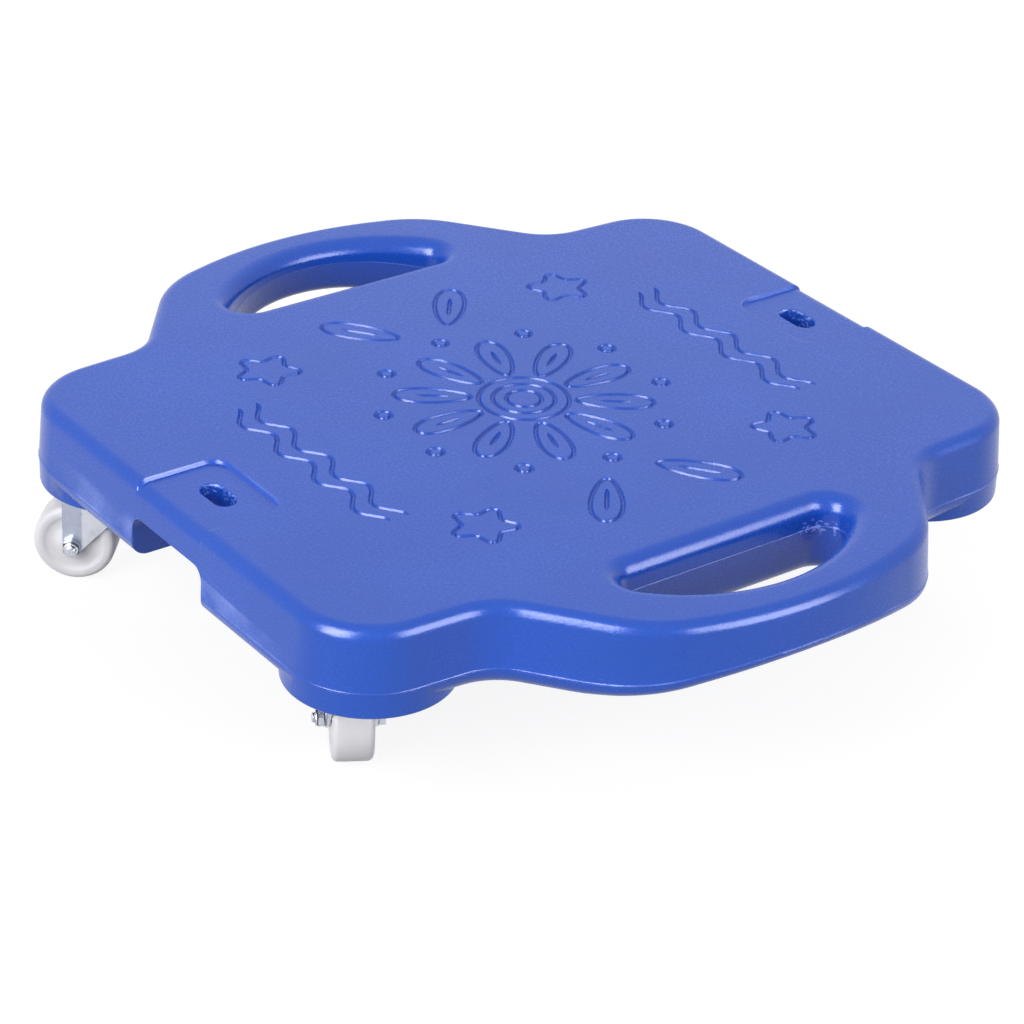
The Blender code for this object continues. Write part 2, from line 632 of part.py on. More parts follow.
def fork(material):
    """The pressed fork: a bent channel cut to its side outline, with a domed crown on top."""
    top = CROWN_TOP - CROWN_STEP
    mesh = box((-CROWN_RADIUS, -FORK_OUTSIDE / 2, 0.0), (TRAIL + 2 * FORK_EYE_RADIUS, FORK_OUTSIDE / 2, top))
    open_faces = [face for face in mesh.faces if face.normal.z < -0.5 or abs(face.normal.x) > 0.5]
    bmesh.ops.delete(mesh, geom=open_faces, context="FACES_ONLY")

    def at_bend(a, b):
        return min(a.z, b.z) > CROWN_BOTTOM and abs(a.x - b.x) > WELD_DISTANCE

    round_edges(mesh, at_bend, FORK_BEND, BEND_STEPS)
    item = object_from(mesh, "fork", PARTS, material)
    sheet = item.modifiers.new("sheet", "SOLIDIFY")
    sheet.thickness = FORK_THICKNESS
    sheet.offset = -1.0
    combine(item, fork_side(), "INTERSECT")
    outer, inner, skirt = CROWN_RADIUS, CROWN_RADIUS - FORK_THICKNESS, CROWN_TOP - CROWN_SKIRT
    profile = [(0.0, CROWN_TOP), (outer - FORK_THICKNESS, CROWN_TOP), (outer, CROWN_TOP - FORK_THICKNESS)]
    profile += [(outer, skirt), (inner, skirt), (inner, CROWN_BOTTOM), (0.0, CROWN_BOTTOM)]
    crown = turned("crown", profile, CROWN_FACETS, CUTTERS, closed=False)
    crown.hide_render = True
    crown.display_type = "WIRE"
    combine(item, crown, "UNION")
    centre = bore(KINGPIN_RADIUS, RING_FACETS)
    hole = cylinders([(0.0, 0.0)], centre, CROWN_BOTTOM - CUT_MARGIN, CROWN_TOP + CUT_MARGIN, RING_FACETS)
    combine(item, cutter_from(hole, "fork centre"), "DIFFERENCE")
    eyes = cylinders([(0.0, 0.0)], bore(AXLE_RADIUS, SMALL_FACETS), -FORK_OUTSIDE, FORK_OUTSIDE, SMALL_FACETS)
    eyes.transform(Matrix.Translation((TRAIL, 0.0, AXLE_HEIGHT)) @ Matrix.Rotation(math.radians(90), 4, "X"))
    combine(item, cutter_from(eyes, "fork eyes"), "DIFFERENCE")
    return item


def wheel(material):
    """The moulded wheel about its own axle: rounded tread, rim ring, recessed side and hub."""
    half, radius = WHEEL_WIDTH / 2, WHEEL_DIAMETER / 2
    rim = radius - WHEEL_ROUND - WHEEL_RIM / 2
    upper = [(bore(BUSH_RADIUS, SMALL_FACETS), half), (WHEEL_HUB_RADIUS - WHEEL_RECESS, half)]
    upper += [(WHEEL_HUB_RADIUS, half - WHEEL_RECESS), (rim - WHEEL_RECESS, half - WHEEL_RECESS), (rim, half)]
    for step in range(WHEEL_ROUND_STEPS + 1):
        angle = math.radians(90) * (1 - step / WHEEL_ROUND_STEPS)
        arm = (WHEEL_ROUND * math.cos(angle), WHEEL_ROUND * math.sin(angle))
        upper.append((radius - WHEEL_ROUND + arm[0], half - WHEEL_ROUND + arm[1]))
    profile = upper + [(x, -height) for x, height in reversed(upper)]
    return turned("wheel", profile, WHEEL_FACETS, PARTS, material)


def bush(material):
    """The sleeve that the wheel turns on, clamped between the fork's legs."""
    half, inner = FORK_INSIDE / 2 - SEAT_GAP, bore(AXLE_RADIUS, SMALL_FACETS)
    profile = [(inner, half), (BUSH_RADIUS, half), (BUSH_RADIUS, -half), (inner, -half)]
    return turned("bush", profile, SMALL_FACETS, PARTS, material)


def hexagon(name, bottom, top, collection, material=None):
    """A hexagonal prism about Z."""
    mesh = bmesh.new()
    add_cylinder(mesh, (0.0, 0.0), HEX_ACROSS_FLATS / 2 / math.cos(math.pi / 6), bottom, top, 6)
    return object_from(mesh, name, collection, material)


def axle(material):
    """The axle bolt about its own axis, its head on the far side and its end past the nut."""
    seat = -FORK_OUTSIDE / 2 - SEAT_GAP
    item = hexagon("axle", seat - AXLE_HEAD_HEIGHT, seat, PARTS, material)
    end = FORK_OUTSIDE / 2 + NUT_HEIGHT + 2 * SEAT_GAP + AXLE_END
    mesh = bmesh.new()
    add_cylinder(mesh, (0.0, 0.0), AXLE_RADIUS, seat - AXLE_HEAD_HEIGHT / 2, end, SMALL_FACETS)
    combine(item, cutter_from(mesh, "axle shank"), "UNION")
    return item


def nut(material):
    """The lock nut about the axle's axis, seated against the fork's near leg."""
    seat = FORK_OUTSIDE / 2 + SEAT_GAP
    item = hexagon("nut", seat, seat + NUT_HEIGHT, PARTS, material)
    radius = bore(AXLE_RADIUS, SMALL_FACETS)
    hole = cylinders([(0.0, 0.0)], radius, seat - CUT_MARGIN, seat + NUT_HEIGHT + CUT_MARGIN, SMALL_FACETS)
    combine(item, cutter_from(hole, "nut bore"), "DIFFERENCE")
    return item


def pivot(name, location, turn, parent=None):
    """An empty that stands on a joint's axis."""
    item = bpy.data.objects.new(name, None)
    item.location = location
    item.rotation_euler = turn
    item.parent = parent
    PARTS.objects.link(item)
    return item


def place(pattern, name, parent, location=(0.0, 0.0, 0.0)):
    """Put a copy of a pattern piece under a pivot."""
    item = bpy.data.objects.new(name, pattern.data)
    item.location = location
    item.parent = parent
    PARTS.objects.link(item)


def make_casters(steel, nylon, grease):
    """Model one caster and stand a copy of each of its pieces at every corner."""
    plate_patterns = {
        "top_plate": top_plate(steel),
        "upper_balls": ball_ring("upper_balls", CROWN_TOP + SEAT_GAP, grease),
        "lower_balls": ball_ring("lower_balls", CUP_TOP + SEAT_GAP, grease),
        "race_cup": race_cup(steel),
        "kingpin": kingpin(steel),
    }
    axle_patterns = {"bush": bush(steel), "axle": axle(steel), "nut": nut(steel)}
    fork_pattern, wheel_pattern, screw_pattern = fork(steel), wheel(nylon), screw(steel)
    patterns = [*plate_patterns.values(), *axle_patterns.values(), fork_pattern, wheel_pattern, screw_pattern]
    for pattern in patterns:
        smooth(bake(pattern))
    for corner, centre in kingpin_centres().items():
        stand = pivot(f"{corner}_stand", (*centre, 0.0), (0.0, 0.0, 0.0))
        for name, pattern in plate_patterns.items():
            place(pattern, f"{corner}_{name}", stand)
        for number, spot in enumerate(screw_places(), start=1):
            place(screw_pattern, f"{corner}_screw_{number}", stand, (*spot, 0.0))
        swivel = pivot(f"{corner}_swivel", (0.0, 0.0, 0.0), (0.0, 0.0, math.radians(HEADINGS[corner])), stand)
        place(fork_pattern, f"{corner}_fork", swivel)
        spin = pivot(f"{corner}_spin", (TRAIL, 0.0, AXLE_HEIGHT), (math.radians(-90), 0.0, 0.0), swivel)
        place(wheel_pattern, f"{corner}_wheel", spin)
        for name, pattern in axle_patterns.items():
            place(pattern, f"{corner}_{name}", spin)
    for pattern in patterns:
        bpy.data.objects.remove(pattern, do_unlink=True)


clear_scene()
PARTS = new_collection("scooter board")
CUTTERS = new_collection("cutters")
make_deck(new_material("blue moulded plastic", (0.035, 0.115, 0.330), 0.42))
make_casters(
    new_material("zinc plated steel", (0.62, 0.64, 0.68), 0.32, 1.0),
    new_material("white nylon", (0.78, 0.79, 0.80), 0.45),
    new_material("greased balls", (0.30, 0.29, 0.27), 0.25, 1.0),
)
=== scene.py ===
"""Looks of a scooter board: a blue moulded deck with two hand holes on four swivel casters.

Metres, +Z up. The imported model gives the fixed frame, and every piece here takes the place
of one of its nodes and rides on that node's body.
"""

import json
import logging
import math
from contextlib import contextmanager
from dataclasses import dataclass, field
from enum import Enum
from typing import Callable, Iterator, Sequence

import bmesh
import bpy
from mathutils import Matrix, Quaternion, Vector


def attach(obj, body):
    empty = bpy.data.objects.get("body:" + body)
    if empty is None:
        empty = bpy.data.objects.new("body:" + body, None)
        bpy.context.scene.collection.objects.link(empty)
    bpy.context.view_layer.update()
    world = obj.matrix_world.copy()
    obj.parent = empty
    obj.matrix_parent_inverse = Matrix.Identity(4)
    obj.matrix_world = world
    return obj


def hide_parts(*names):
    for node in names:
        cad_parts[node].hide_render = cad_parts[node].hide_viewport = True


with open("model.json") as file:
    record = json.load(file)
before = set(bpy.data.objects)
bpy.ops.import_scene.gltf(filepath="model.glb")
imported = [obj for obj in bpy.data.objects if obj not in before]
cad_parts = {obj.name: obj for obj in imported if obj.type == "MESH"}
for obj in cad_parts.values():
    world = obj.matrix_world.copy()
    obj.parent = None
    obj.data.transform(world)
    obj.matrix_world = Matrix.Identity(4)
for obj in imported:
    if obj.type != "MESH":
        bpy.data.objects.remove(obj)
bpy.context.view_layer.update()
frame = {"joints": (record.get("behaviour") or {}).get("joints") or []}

WELD = 0.000002
CLOSE = WELD * 10
LOG = logging.getLogger("scooter board")

Piece = bpy.types.Object
Points = list[Vector]


class Kind(Enum):
    """What an edit picks."""

    VERT = "VERT"
    EDGE = "EDGE"
    FACE = "FACE"


class Slot(Enum):
    """The record's material slots."""

    DECK = "deck_plastic"
    WHEEL = "wheel_nylon"
    STEEL = "zinc_steel"
    BALLS = "ball_steel"


class Join(Enum):
    """How one solid is combined with another."""

    CUT = "DIFFERENCE"
    ADD = "UNION"
    KEEP_COMMON = "INTERSECT"


def take(*pieces: Piece) -> None:
    """Select only these pieces and make the first one active.

    Args:
        pieces: The objects, the active one first.
    """
    for item in bpy.context.selected_objects:
        item.select_set(False)
    for piece in pieces:
        piece.select_set(True)
    bpy.context.view_layer.objects.active = pieces[0]


@contextmanager
def editing(piece: Piece) -> Iterator[None]:
    """Open a piece in edit mode with nothing selected, and close it again.

    Args:
        piece: The piece.

    Yields:
        Nothing; the piece stays open until the block ends.
    """
    take(piece)
    bpy.ops.object.mode_set(mode="EDIT")
    bpy.ops.mesh.select_all(action="DESELECT")
    yield
    bpy.ops.object.mode_set(mode="OBJECT")


def pick(piece: Piece, kind: Kind, test: Callable[..., bool]) -> int:
    """Select the elements of the piece in edit mode that pass a test.

    Args:
        piece: The piece that is open in edit mode.
        kind: Whether points, edges or faces are tested.
        test: Takes one bmesh element and says whether it is wanted.

    Returns:
        How many were selected.
    """
    bpy.ops.mesh.select_mode(type=kind.value)
    bpy.ops.mesh.select_all(action="DESELECT")
    mesh = bmesh.from_edit_mesh(piece.data)
    group = {Kind.VERT: mesh.verts, Kind.EDGE: mesh.edges, Kind.FACE: mesh.faces}[kind]
    wanted = [item for item in group if test(item)]
    for item in wanted:
        item.select_set(True)
    mesh.select_flush_mode()
    bmesh.update_edit_mesh(piece.data)
    return len(wanted)


def middle(edge: bmesh.types.BMEdge) -> Vector:
    """The middle point of an edge."""
    return (edge.verts[0].co + edge.verts[1].co) / 2


def named(name: str) -> Piece:
    """Give the active object a name and return it.

    Args:
        name: The name, also of its mesh.

    Returns:
        The object.
    """
    piece = bpy.context.active_object
    piece.name = name
    piece.data.name = name
    return piece


def joined(name: str, pieces: Sequence[Piece]) -> Piece:
    """Join several objects into one.

    Args:
        name: What the joined piece is called.
        pieces: The objects, which are used up.

    Returns:
        The joined piece.
    """
    take(*pieces)
    bpy.ops.object.join()
    return named(name)


def apply_modifiers(piece: Piece) -> None:
    """Apply every modifier of a piece in order.

    Args:
        piece: The piece, in object mode.
    """
    take(piece)
    for step in list(piece.modifiers):
        bpy.ops.object.modifier_apply(modifier=step.name)


def combine(piece: Piece, other: Piece, how: Join) -> None:
    """Combine a piece with another solid, which is used up.

    Args:
        piece: The solid that stays.
        other: The solid that is added, cut away or kept in common.
        how: What is done.
    """
    step = piece.modifiers.new("combine", "BOOLEAN")
    step.operation = how.value
    step.solver = "EXACT"
    step.object = other
    apply_modifiers(piece)
    bpy.data.objects.remove(other, do_unlink=True)


def fix_place(piece: Piece) -> None:
    """Put a piece's place and turn into its mesh."""
    take(piece)
    bpy.ops.object.transform_apply(location=True, rotation=True, scale=True)


def round_over(piece: Piece, test: Callable[..., bool], radius: float, segments: int) -> None:
    """Round the edges of a piece that pass a test.

    Args:
        piece: The piece, in object mode.
        test: Says whether an edge is rounded.
        radius: How far the rounding reaches from the edge.
        segments: How many facets it gets.
    """
    with editing(piece):
        if pick(piece, Kind.EDGE, test):
            bpy.ops.mesh.bevel(
                offset=radius, segments=segments, profile=0.5, affect="EDGES", clamp_overlap=True
            )


def soften(piece: Piece, radius: float, angle: float = 40.0, segments: int = 2) -> None:
    """Break the hard edges of a finished solid with a small bevel.

    Args:
        piece: The piece, in object mode.
        radius: The bevel's width.
        angle: Edges sharper than this many degrees are broken.
        segments: How many facets the bevel gets.
    """
    step = piece.modifiers.new("soften", "BEVEL")
    step.width = radius
    step.segments = segments
    step.limit_method = "ANGLE"
    step.angle_limit = math.radians(angle)
    step.use_clamp_overlap = True
    step.harden_normals = False
    apply_modifiers(piece)


def shade(piece: Piece, angle: float = 32.0, weighted: bool = False) -> None:
    """Shade a piece smoothly up to an angle.

    Args:
        piece: The finished piece.
        angle: Edges sharper than this many degrees stay hard.
        weighted: Whether large flat faces keep their own direction at a soft edge.
    """
    take(piece)
    bpy.ops.object.shade_smooth_by_angle(angle=math.radians(angle))
    if weighted:
        step = piece.modifiers.new("flat faces", "WEIGHTED_NORMAL")
        step.keep_sharp = True
        step.weight = 100
        apply_modifiers(piece)


def tidy_solid(piece: Piece) -> None:
    """Merge doubled points, drop loose ones and turn every face outwards.

    Args:
        piece: The piece, in object mode.
    """
    with editing(piece):
        bpy.ops.mesh.select_all(action="SELECT")
        bpy.ops.mesh.remove_doubles(threshold=WELD)
        bpy.ops.mesh.delete_loose()
        bpy.ops.mesh.select_all(action="SELECT")
        bpy.ops.mesh.normals_make_consistent(inside=False)


def loft(name: str, rings: Sequence[Points], capped: bool = True) -> Piece:
    """Bridge circle primitives that are laid on rings of points, one to the next.

    Args:
        name: What the piece is called.
        rings: Rings with the same number of points, in order.
        capped: Whether the first and the last ring are closed with a face.

    Returns:
        The new piece.
    """
    count = len(rings[0])
    bpy.ops.object.select_all(action="DESELECT")
    bpy.ops.mesh.primitive_circle_add(vertices=count, fill_type="NOTHING")
    piece = named(name)
    with editing(piece):
        for index, points in enumerate(rings):
            if index:
                bpy.ops.mesh.primitive_circle_add(vertices=count, fill_type="NOTHING")
            mesh = bmesh.from_edit_mesh(piece.data)
            mesh.verts.ensure_lookup_table()
            for vert, point in zip(mesh.verts[index * count:], points):
                vert.co = point
            bmesh.update_edit_mesh(piece.data)
            if index:
                low = (index - 1) * count

                def in_last_rings(edge: bmesh.types.BMEdge) -> bool:
                    """Whether an edge lies along one of the last two rings."""
                    first, second = (vert.index for vert in edge.verts)
                    return min(first, second) >= low and first // count == second // count

                mesh.verts.index_update()
                pick(piece, Kind.EDGE, in_last_rings)
                bpy.ops.mesh.bridge_edge_loops()
        if capped:
            pick(piece, Kind.EDGE, lambda edge: edge.is_boundary)
            bpy.ops.mesh.edge_face_add()
            bpy.ops.mesh.select_all(action="SELECT")
            bpy.ops.mesh.normals_make_consistent(inside=False)
    return piece


def turned(name: str, profile: Sequence[tuple[float, float]], steps: int = 64) -> Piece:
    """Spin a closed profile about Z.

    Args:
        name: What the piece is called.
        profile: Points of radius and height, once round the section.
        steps: Facets in a full turn.

    Returns:
        The turned solid.
    """
    bpy.ops.object.select_all(action="DESELECT")
    bpy.ops.mesh.primitive_circle_add(vertices=len(profile), fill_type="NOTHING")
    piece = named(name)
    for vert, (radius, height) in zip(piece.data.vertices, profile):
        vert.co = (radius, 0.0, height)
    with editing(piece):
        bpy.ops.mesh.select_all(action="SELECT")
        bpy.ops.mesh.spin(
            steps=steps, angle=math.tau, center=(0.0, 0.0, 0.0), axis=(0.0, 0.0, 1.0), use_auto_merge=True
        )
    tidy_solid(piece)
    return piece


def rod(name: str, radius: float, bottom: float, top: float, steps: int = 48) -> Piece:
    """A round rod about Z."""
    return turned(name, [(0.0, bottom), (radius, bottom), (radius, top), (0.0, top)], steps)


def arc(
    centre: tuple[float, float], radius: float, start: float, end: float, steps: int
) -> list[tuple[float, float]]:
    """Points along an arc between two angles in degrees."""
    angles = [math.radians(start + (end - start) * step / steps) for step in range(steps + 1)]
    return [(centre[0] + radius * math.cos(a), centre[1] + radius * math.sin(a)) for a in angles]


def filled(points: Points, step: float) -> Points:
    """A closed ring of points with more points along its long straight runs.

    Args:
        points: The ring's points.
        step: About how far apart they may lie.

    Returns:
        The denser ring.
    """
    ring = []
    for index, point in enumerate(points):
        after = points[(index + 1) % len(points)]
        count = max(1, round((after - point).length / step))
        ring += [point.lerp(after, part / count) for part in range(count)]
    return ring


def rounded(corners: Sequence[tuple[float, float, float]], step: float) -> Points:
    """Points round a polygon with a fillet at each corner.

    Args:
        corners: For each corner its x, y and fillet radius, anticlockwise.
        step: About how far apart the points lie on the fillets.

    Returns:
        The ring of points.
    """
    ring: Points = []
    for index, (x, y, radius) in enumerate(corners):
        corner = Vector((x, y))
        before = (Vector(corners[index - 1][:2]) - corner).normalized()
        after = (Vector(corners[(index + 1) % len(corners)][:2]) - corner).normalized()
        half = before.angle(after) / 2
        centre = corner + (before + after).normalized() * (radius / math.sin(half))
        start = corner + before * (radius / math.tan(half)) - centre
        turn = math.copysign(math.pi - 2 * half, -before.cross(after))
        count = max(2, math.ceil(abs(turn) * radius / step))
        for part in range(count + 1):
            point = centre + Matrix.Rotation(turn * part / count, 2) @ start
            if not ring or (point - ring[-1]).length > CLOSE:
                ring.append(point)
    if (ring[0] - ring[-1]).length <= CLOSE:
        ring.pop()
    return ring


def outset(ring: Points, distance: float) -> Points:
    """A closed anticlockwise ring moved outwards by a distance.

    Args:
        ring: The ring's points.
        distance: How far it moves, inwards if negative.

    Returns:
        The moved ring, with as many points.
    """
    moved = []
    for index, point in enumerate(ring):
        before = (point - ring[index - 1]).normalized()
        after = (ring[(index + 1) % len(ring)] - point).normalized()
        along = (before + after).normalized()
        stretch = distance / max(0.5, along.dot(after))
        moved.append(point + Vector((along.y, -along.x)) * stretch)
    return moved


def ease(share: float) -> float:
    """Ease from 0 to 1 as the share goes from 0 to 1."""
    share = min(max(share, 0.0), 1.0)
    return share * share * (3 - 2 * share)


class Sheet:
    """A node tree that nodes are laid out on."""

    def __init__(self, tree: bpy.types.NodeTree) -> None:
        """Take a tree to build in."""
        self.tree = tree

    def put(self, kind: str, inputs: dict | None = None, **settings: object) -> bpy.types.Node:
        """Add a node.

        Args:
            kind: The node's type.
            inputs: For each input a value, or the socket that feeds it.
            settings: The node's own settings.

        Returns:
            The new node.
        """
        node = self.tree.nodes.new(kind)
        for name, value in settings.items():
            setattr(node, name, value)
        for name, value in (inputs or {}).items():
            if isinstance(value, bpy.types.NodeSocket):
                self.tree.links.new(value, node.inputs[name])
            else:
                node.inputs[name].default_value = value
        return node

    def sum(self, operation: str, first: object, second: object = 0.0, clamp: bool = False) -> object:
        """Put a Math node and return its result."""
        node = self.put("ShaderNodeMath", {0: first, 1: second}, operation=operation, use_clamp=clamp)
        return node.outputs[0]

    def noise(self, place: object, scale: object, detail: float) -> bpy.types.Node:
        """Put a Noise Texture node and return it."""
        return self.put("ShaderNodeTexNoise", {"Vector": place, "Scale": scale, "Detail": detail})

    def blend(self, share: object, first: object, second: object) -> object:
        """Put a colour Mix node and return its result.

        Args:
            share: How much of the second colour is taken.
            first: A colour or its socket.
            second: A colour or its socket.

        Returns:
            The result's socket.
        """
        node = self.put("ShaderNodeMix", data_type="RGBA")
        for index, value in ((0, share), (6, first), (7, second)):
            if isinstance(value, bpy.types.NodeSocket):
                self.tree.links.new(value, node.inputs[index])
            else:
                node.inputs[index].default_value = value
        return node.outputs[2]

    def spread(self, value: object, low: float, high: float, to_low: float, to_high: float) -> object:
        """Put a Map Range node and return its result.

        Args:
            value: The socket that is mapped.
            low: Where the taken range starts.
            high: Where it ends.
            to_low: What its start becomes.
            to_high: What its end becomes.

        Returns:
            The result's socket.
        """
        node = self.put(
            "ShaderNodeMapRange",
            {"Value": value, "From Min": low, "From Max": high, "To Min": to_low, "To Max": to_high},
        )
        return node.outputs["Result"]


def new_group(name: str, inputs: Sequence[str], outputs: Sequence[str]) -> bpy.types.NodeTree:
    """Start a shader node group whose sockets are plain numbers, except for Position.

    Args:
        name: What the group is called.
        inputs: The names of its inputs.
        outputs: The names of its outputs.

    Returns:
        The group's empty tree.
    """
    tree = bpy.data.node_groups.new(name, "ShaderNodeTree")
    for socket in inputs:
        kind = "NodeSocketVector" if socket == "Position" else "NodeSocketFloat"
        tree.interface.new_socket(name=socket, in_out="INPUT", socket_type=kind)
    for socket in outputs:
        tree.interface.new_socket(name=socket, in_out="OUTPUT", socket_type="NodeSocketFloat")
    return tree


class Effects:
    """The node groups that several finishes share, each built once.

    The grain's numbers are shares of its Scale input or of a pebble's height, and those of the
    tone are shares of its own Scale.
    """

    wander_scale = 0.6
    wander_reach = 0.7
    pebble_softness = 0.6
    fine_scale = 2.3
    fine_height = 0.35
    broad_scale = 0.045
    pore_span = (0.45, 0.8)
    speck_scale = 40.0

    def __init__(self) -> None:
        """Build every group."""
        self.grain = self.build_grain()
        self.patches = self.build_patches()

    def build_grain(self) -> bpy.types.NodeTree:
        """The pebbled skin that a blasted mould leaves.

        Returns:
            A group that puts out Height, and Pores where the skin is pitted.
        """
        tree = new_group("moulded grain", ("Position", "Scale", "Waviness"), ("Height", "Pores"))
        sheet = Sheet(tree)
        start = sheet.put("NodeGroupInput")
        place, scale = start.outputs["Position"], start.outputs["Scale"]
        wander = sheet.noise(place, sheet.sum("MULTIPLY", scale, self.wander_scale), 1.0)
        shift = sheet.put("ShaderNodeVectorMath", {0: wander.outputs["Color"]}, operation="SCALE")
        sheet.tree.links.new(sheet.sum("DIVIDE", self.wander_reach, scale), shift.inputs["Scale"])
        moved = sheet.put("ShaderNodeVectorMath", {0: place, 1: shift.outputs[0]}, operation="ADD")
        cells = sheet.put(
            "ShaderNodeTexVoronoi",
            {"Vector": moved.outputs[0], "Scale": scale, "Smoothness": self.pebble_softness},
            feature="SMOOTH_F1",
        )
        pebble = sheet.sum("SUBTRACT", 1.0, cells.outputs["Distance"], clamp=True)
        fine = sheet.noise(place, sheet.sum("MULTIPLY", scale, self.fine_scale), 2.0)
        broad = sheet.noise(place, sheet.sum("MULTIPLY", scale, self.broad_scale), 2.0)
        skin = sheet.sum("ADD", pebble, sheet.sum("MULTIPLY", fine.outputs[0], self.fine_height))
        wave = sheet.sum("MULTIPLY", broad.outputs[0], start.outputs["Waviness"])
        pores = sheet.spread(cells.outputs["Distance"], *self.pore_span, 0.0, 1.0)
        sheet.put("NodeGroupOutput", {"Height": sheet.sum("ADD", skin, wave), "Pores": pores})
        return tree

    def build_patches(self) -> bpy.types.NodeTree:
        """Broad and fine unevenness of tone.

        Returns:
            A group that puts out Tone, about 0 to 1 round a middle of 0.5.
        """
        tree = new_group("uneven tone", ("Position", "Scale", "Speckle"), ("Tone",))
        sheet = Sheet(tree)
        start = sheet.put("NodeGroupInput")
        place, scale = start.outputs["Position"], start.outputs["Scale"]
        broad = sheet.noise(place, scale, 3.0)
        fine = sheet.noise(place, sheet.sum("MULTIPLY", scale, self.speck_scale), 3.0)
        speck = sheet.sum("MULTIPLY", sheet.sum("SUBTRACT", fine.outputs[0], 0.5), start.outputs["Speckle"])
        sheet.put("NodeGroupOutput", {"Tone": sheet.sum("ADD", broad.outputs[0], speck)})
        return tree


@dataclass(frozen=True)
class Finish:
    """What every finish has: a name, a colour, a second tone and a gloss."""

    name: str
    colour: tuple[float, float, float]
    tone: tuple[float, float, float]
    roughness: float
    roughness_spread: float
    tone_scale: float
    speckle: float

    def start(self, effects: Effects) -> tuple[Sheet, bpy.types.Node, dict]:
        """Make the material with its uneven tone.

        Args:
            effects: The shared node groups.

        Returns:
            The sheet, the shader, and the sockets Position, Tone, Colour and Roughness.
        """
        material = bpy.data.materials.new(self.name)
        material.use_nodes = True
        sheet = Sheet(material.node_tree)
        shader = material.node_tree.nodes["Principled BSDF"]
        place = sheet.put("ShaderNodeTexCoord").outputs["Object"]
        patches = sheet.put("ShaderNodeGroup", node_tree=effects.patches)
        sheet.tree.links.new(place, patches.inputs["Position"])
        patches.inputs["Scale"].default_value = self.tone_scale
        patches.inputs["Speckle"].default_value = self.speckle
        tone = patches.outputs["Tone"]
        share = sheet.spread(tone, 0.25, 0.75, 0.0, 1.0)
        colour = sheet.blend(share, (*self.colour, 1.0), (*self.tone, 1.0))
        gloss = sheet.spread(
            tone, 0.3, 0.7, self.roughness - self.roughness_spread, self.roughness + self.roughness_spread
        )
        return sheet, shader, {"Position": place, "Tone": share, "Colour": colour, "Roughness": gloss}


@dataclass(frozen=True)
class MouldedPlastic(Finish):
    """Blow-moulded polyethylene with a grained skin, pale flash lines left by trimming, and a painted
    highlight along the pads' borders.
    """

    pale: tuple[float, float, float]
    gloss: float
    grain_scale: float
    grain_height: float
    waviness: float
    rub_scale: float = 34.0
    rub_span: tuple[float, float] = (0.42, 0.66)
    rub_share: tuple[float, float] = (0.05, 0.9)
    fleck_scale: float = 420.0
    fleck_span: tuple[float, float] = (0.74, 0.80)
    fleck_share: float = 0.9
    fleck_lift: float = 0.30
    pore_dullness: float = 0.06

    def material(self, effects: Effects) -> bpy.types.Material:
        """Build the material.

        Args:
            effects: The shared node groups.

        Returns:
            The material.
        """
        sheet, shader, base = self.start(effects)
        grain = sheet.put("ShaderNodeGroup", node_tree=effects.grain)
        sheet.tree.links.new(base["Position"], grain.inputs["Position"])
        grain.inputs["Scale"].default_value = self.grain_scale
        grain.inputs["Waviness"].default_value = self.waviness
        # Pale lines: real flash left by trimming, plus a painted highlight along the pads' borders.
        trim_and_highlight = sheet.put("ShaderNodeAttribute", attribute_name="trim_and_highlight").outputs["Fac"]
        scuffed = sheet.put("ShaderNodeAttribute", attribute_name="scuffed").outputs["Fac"]
        rubbed = sheet.noise(base["Position"], self.rub_scale, 5.0)
        broken = sheet.spread(rubbed.outputs[0], *self.rub_span, *self.rub_share)
        drawn = sheet.put("ShaderNodeMapping", {"Vector": base["Position"], "Scale": (1.0, 1.0, 1.8)})
        flecks = sheet.noise(drawn.outputs[0], self.fleck_scale, 3.0)
        ragged = sheet.sum("ADD", flecks.outputs[0], sheet.sum("MULTIPLY", scuffed, self.fleck_lift))
        present = sheet.sum("MULTIPLY", scuffed, 4.0, clamp=True)
        chips = sheet.spread(ragged, *self.fleck_span, 0.0, self.fleck_share)
        chipped = sheet.sum("MULTIPLY", present, chips)
        line = sheet.sum("MULTIPLY", trim_and_highlight, broken)
        worn_and_highlit = sheet.blend(sheet.sum("MAXIMUM", line, chipped, clamp=True), base["Colour"], (*self.pale, 1.0))
        bump = sheet.put("ShaderNodeBump", {"Height": grain.outputs["Height"], "Distance": self.grain_height})
        pitted = sheet.sum("MULTIPLY", grain.outputs["Pores"], self.pore_dullness)
        gloss = sheet.sum("ADD", base["Roughness"], pitted, clamp=True)
        sheet.tree.links.new(worn_and_highlit, shader.inputs["Base Color"])
        shader.inputs["Specular IOR Level"].default_value = self.gloss
        sheet.tree.links.new(gloss, shader.inputs["Roughness"])
        sheet.tree.links.new(bump.outputs[0], shader.inputs["Normal"])
        return bpy.data.materials[self.name]


